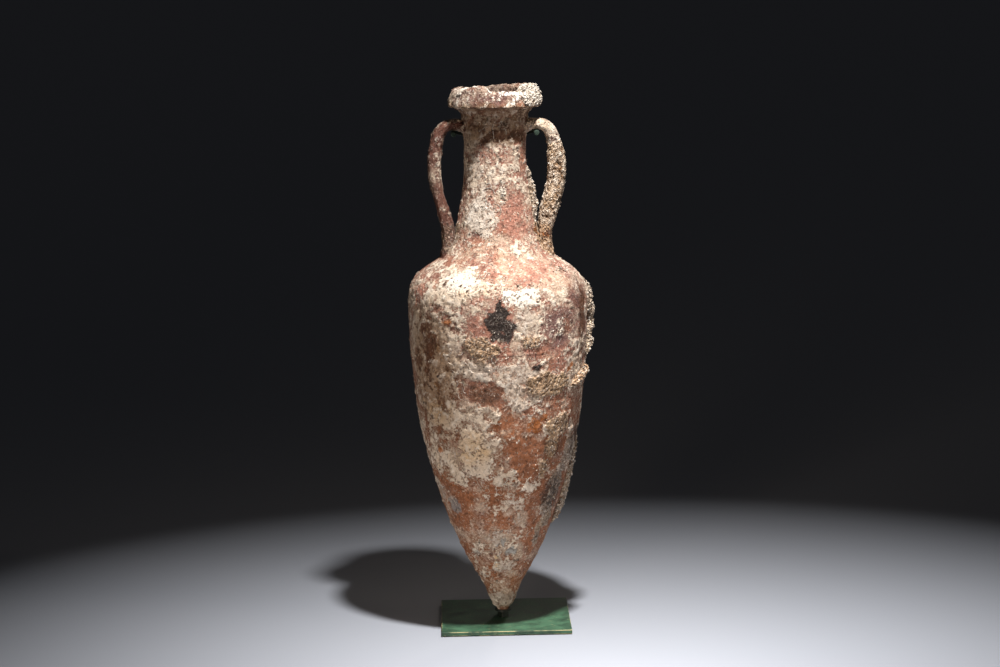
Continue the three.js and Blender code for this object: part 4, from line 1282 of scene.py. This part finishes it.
def layWorm(curve, rng):
    degrees, height, wide, high = rng.choice(worms["centres"])
    degrees += math.degrees(rng.gauss(0, wide * worms["spread"][0]) / float(radiusAt(height)))
    height += rng.gauss(0, high * worms["spread"][1])
    heading, bend = rng.uniform(0, 6.28), rng.uniform(-worms["bend"], worms["bend"])
    steps = rng.randint(*worms["steps"])
    lowest, highest = worms["lowest"], seams["neck"] - worms["belowRim"]
    spline = curve.splines.new("POLY")
    spline.points.add(steps - 1)
    for i in range(steps):
        if not lowest < height < highest:
            heading = -heading
            height = min(max(height, lowest + 2), highest - 2)
        place, _ = onSkin(degrees, height, worms["lift"] + worms["wave"] * math.sin(i * 1.3))
        spline.points[i].co = (*(place * mm), 1)
        spline.points[i].radius = 1 - worms["taper"] + worms["taper"] * i / steps
        heading += bend + rng.gauss(0, worms["wander"])
        degrees += math.degrees(math.cos(heading) * worms["stepLength"] / float(radiusAt(height)))
        height += math.sin(heading) * worms["stepLength"]


def buildWorms():
    rng = random.Random(worms["seed"])
    curve = bpy.data.curves.new("worm_tubes", "CURVE")
    curve.dimensions = "3D"
    curve.bevel_depth, curve.bevel_resolution, curve.use_fill_caps = worms["radius"] * mm, 1, True
    for _ in range(worms["count"]):
        layWorm(curve, rng)
    drawn = linked("worm_curves", curve)
    made = linked("worm_tubes", baked(drawn))
    bpy.data.objects.remove(drawn)
    places = placesOf(made.data)
    colour = mixed(plain("lime", places), tones["white"], ramp(-0.5, 0.4, softNoise(places, 8, 180)))
    dressed(made, kept(places), solidLayers(colour, "crustDeep"), [], crustStone)
    print("laid", worms["count"], "worm tubes")


buildWorms()


# The stand: bevelled plates and blocks with how bare their edges are, and rounded bars, welds and sleeves
# with how rough they are
blocks = dict(
    base_plate=dict(bevel=0.55, segments=2, material=greenPaint, slot="green_paint", edge=0.75),
    toe_post=dict(bevel=0.8, segments=3, material=darkShadedPaint, slot="green_paint", edge=0.3),
    toe_saucer=dict(bevel=0.3, segments=2, material=darkShadedPaint, slot="green_paint", edge=0.2),
    toe_pad=dict(bevel=0.25, segments=2, material=leather, slot="leather_pad", edge=0.0),
)
bars = dict(spine_rod=0.0, yoke_rod=0.0, post_weld=0.35, spine_foot_weld=0.35, yoke_weld=0.35)
sleeves = dict(sleeve_left=0.08, sleeve_right=0.08)
stand = dict(flatAngle=0.02, sharpAngle=0.6, quadAngles=(0.7, 3.1), levels=2, roughNoise=(3.0, 2, 201))


def buildBevelled(node, look):
    sheet = mergedCopy(node)
    bmesh.ops.dissolve_limit(sheet, angle_limit=stand["flatAngle"], verts=sheet.verts, edges=sheet.edges)
    worn = sheet.faces.layers.float.new("edge")
    sharp = [edge for edge in sheet.edges if edge.calc_face_angle(0) > stand["sharpAngle"]]
    cut = bmesh.ops.bevel(sheet, geom=sharp, offset=look["bevel"] * mm, affect="EDGES",
                          segments=look["segments"], profile=0.5, material=-1, clamp_overlap=True)
    for face in cut["faces"]:
        face[worn] = look["edge"]
    made = objectFrom(sheet, "fine_" + node)
    finished(made, "stand", [node], look["material"])


def buildRounded(node, rough, material):
    sheet = mergedCopy(node)
    faceAngle, shapeAngle = stand["quadAngles"]
    bmesh.ops.join_triangles(sheet, faces=sheet.faces, angle_face_threshold=faceAngle,
                             angle_shape_threshold=shapeAngle)
    made = objectFrom(sheet, "fine_" + node)
    rounded = made.modifiers.new("rounded", "SUBSURF")
    rounded.levels = rounded.render_levels = stand["levels"]
    applied(made)
    places, normals = placesOf(made.data), normalsOf(made.data)
    if rough:
        lift = rough * layeredNoise(places, *stand["roughNoise"])
        setPlaces(made.data, places + normals * lift[:, None])
    made.data.attributes.new("edge", "FLOAT", "FACE")
    shadeSmooth(made.data)
    finished(made, "stand", [node], material)


for nodeName, blockLook in blocks.items():
    buildBevelled(nodeName, blockLook)
for nodeName, roughness in bars.items():
    buildRounded(nodeName, roughness, darkShadedPaint)
for nodeName, roughness in sleeves.items():
    buildRounded(nodeName, roughness, sleeveCloth)
nodes["base_felt"].data.materials.clear()
nodes["base_felt"].data.materials.append(felt)
print("the stand is made")
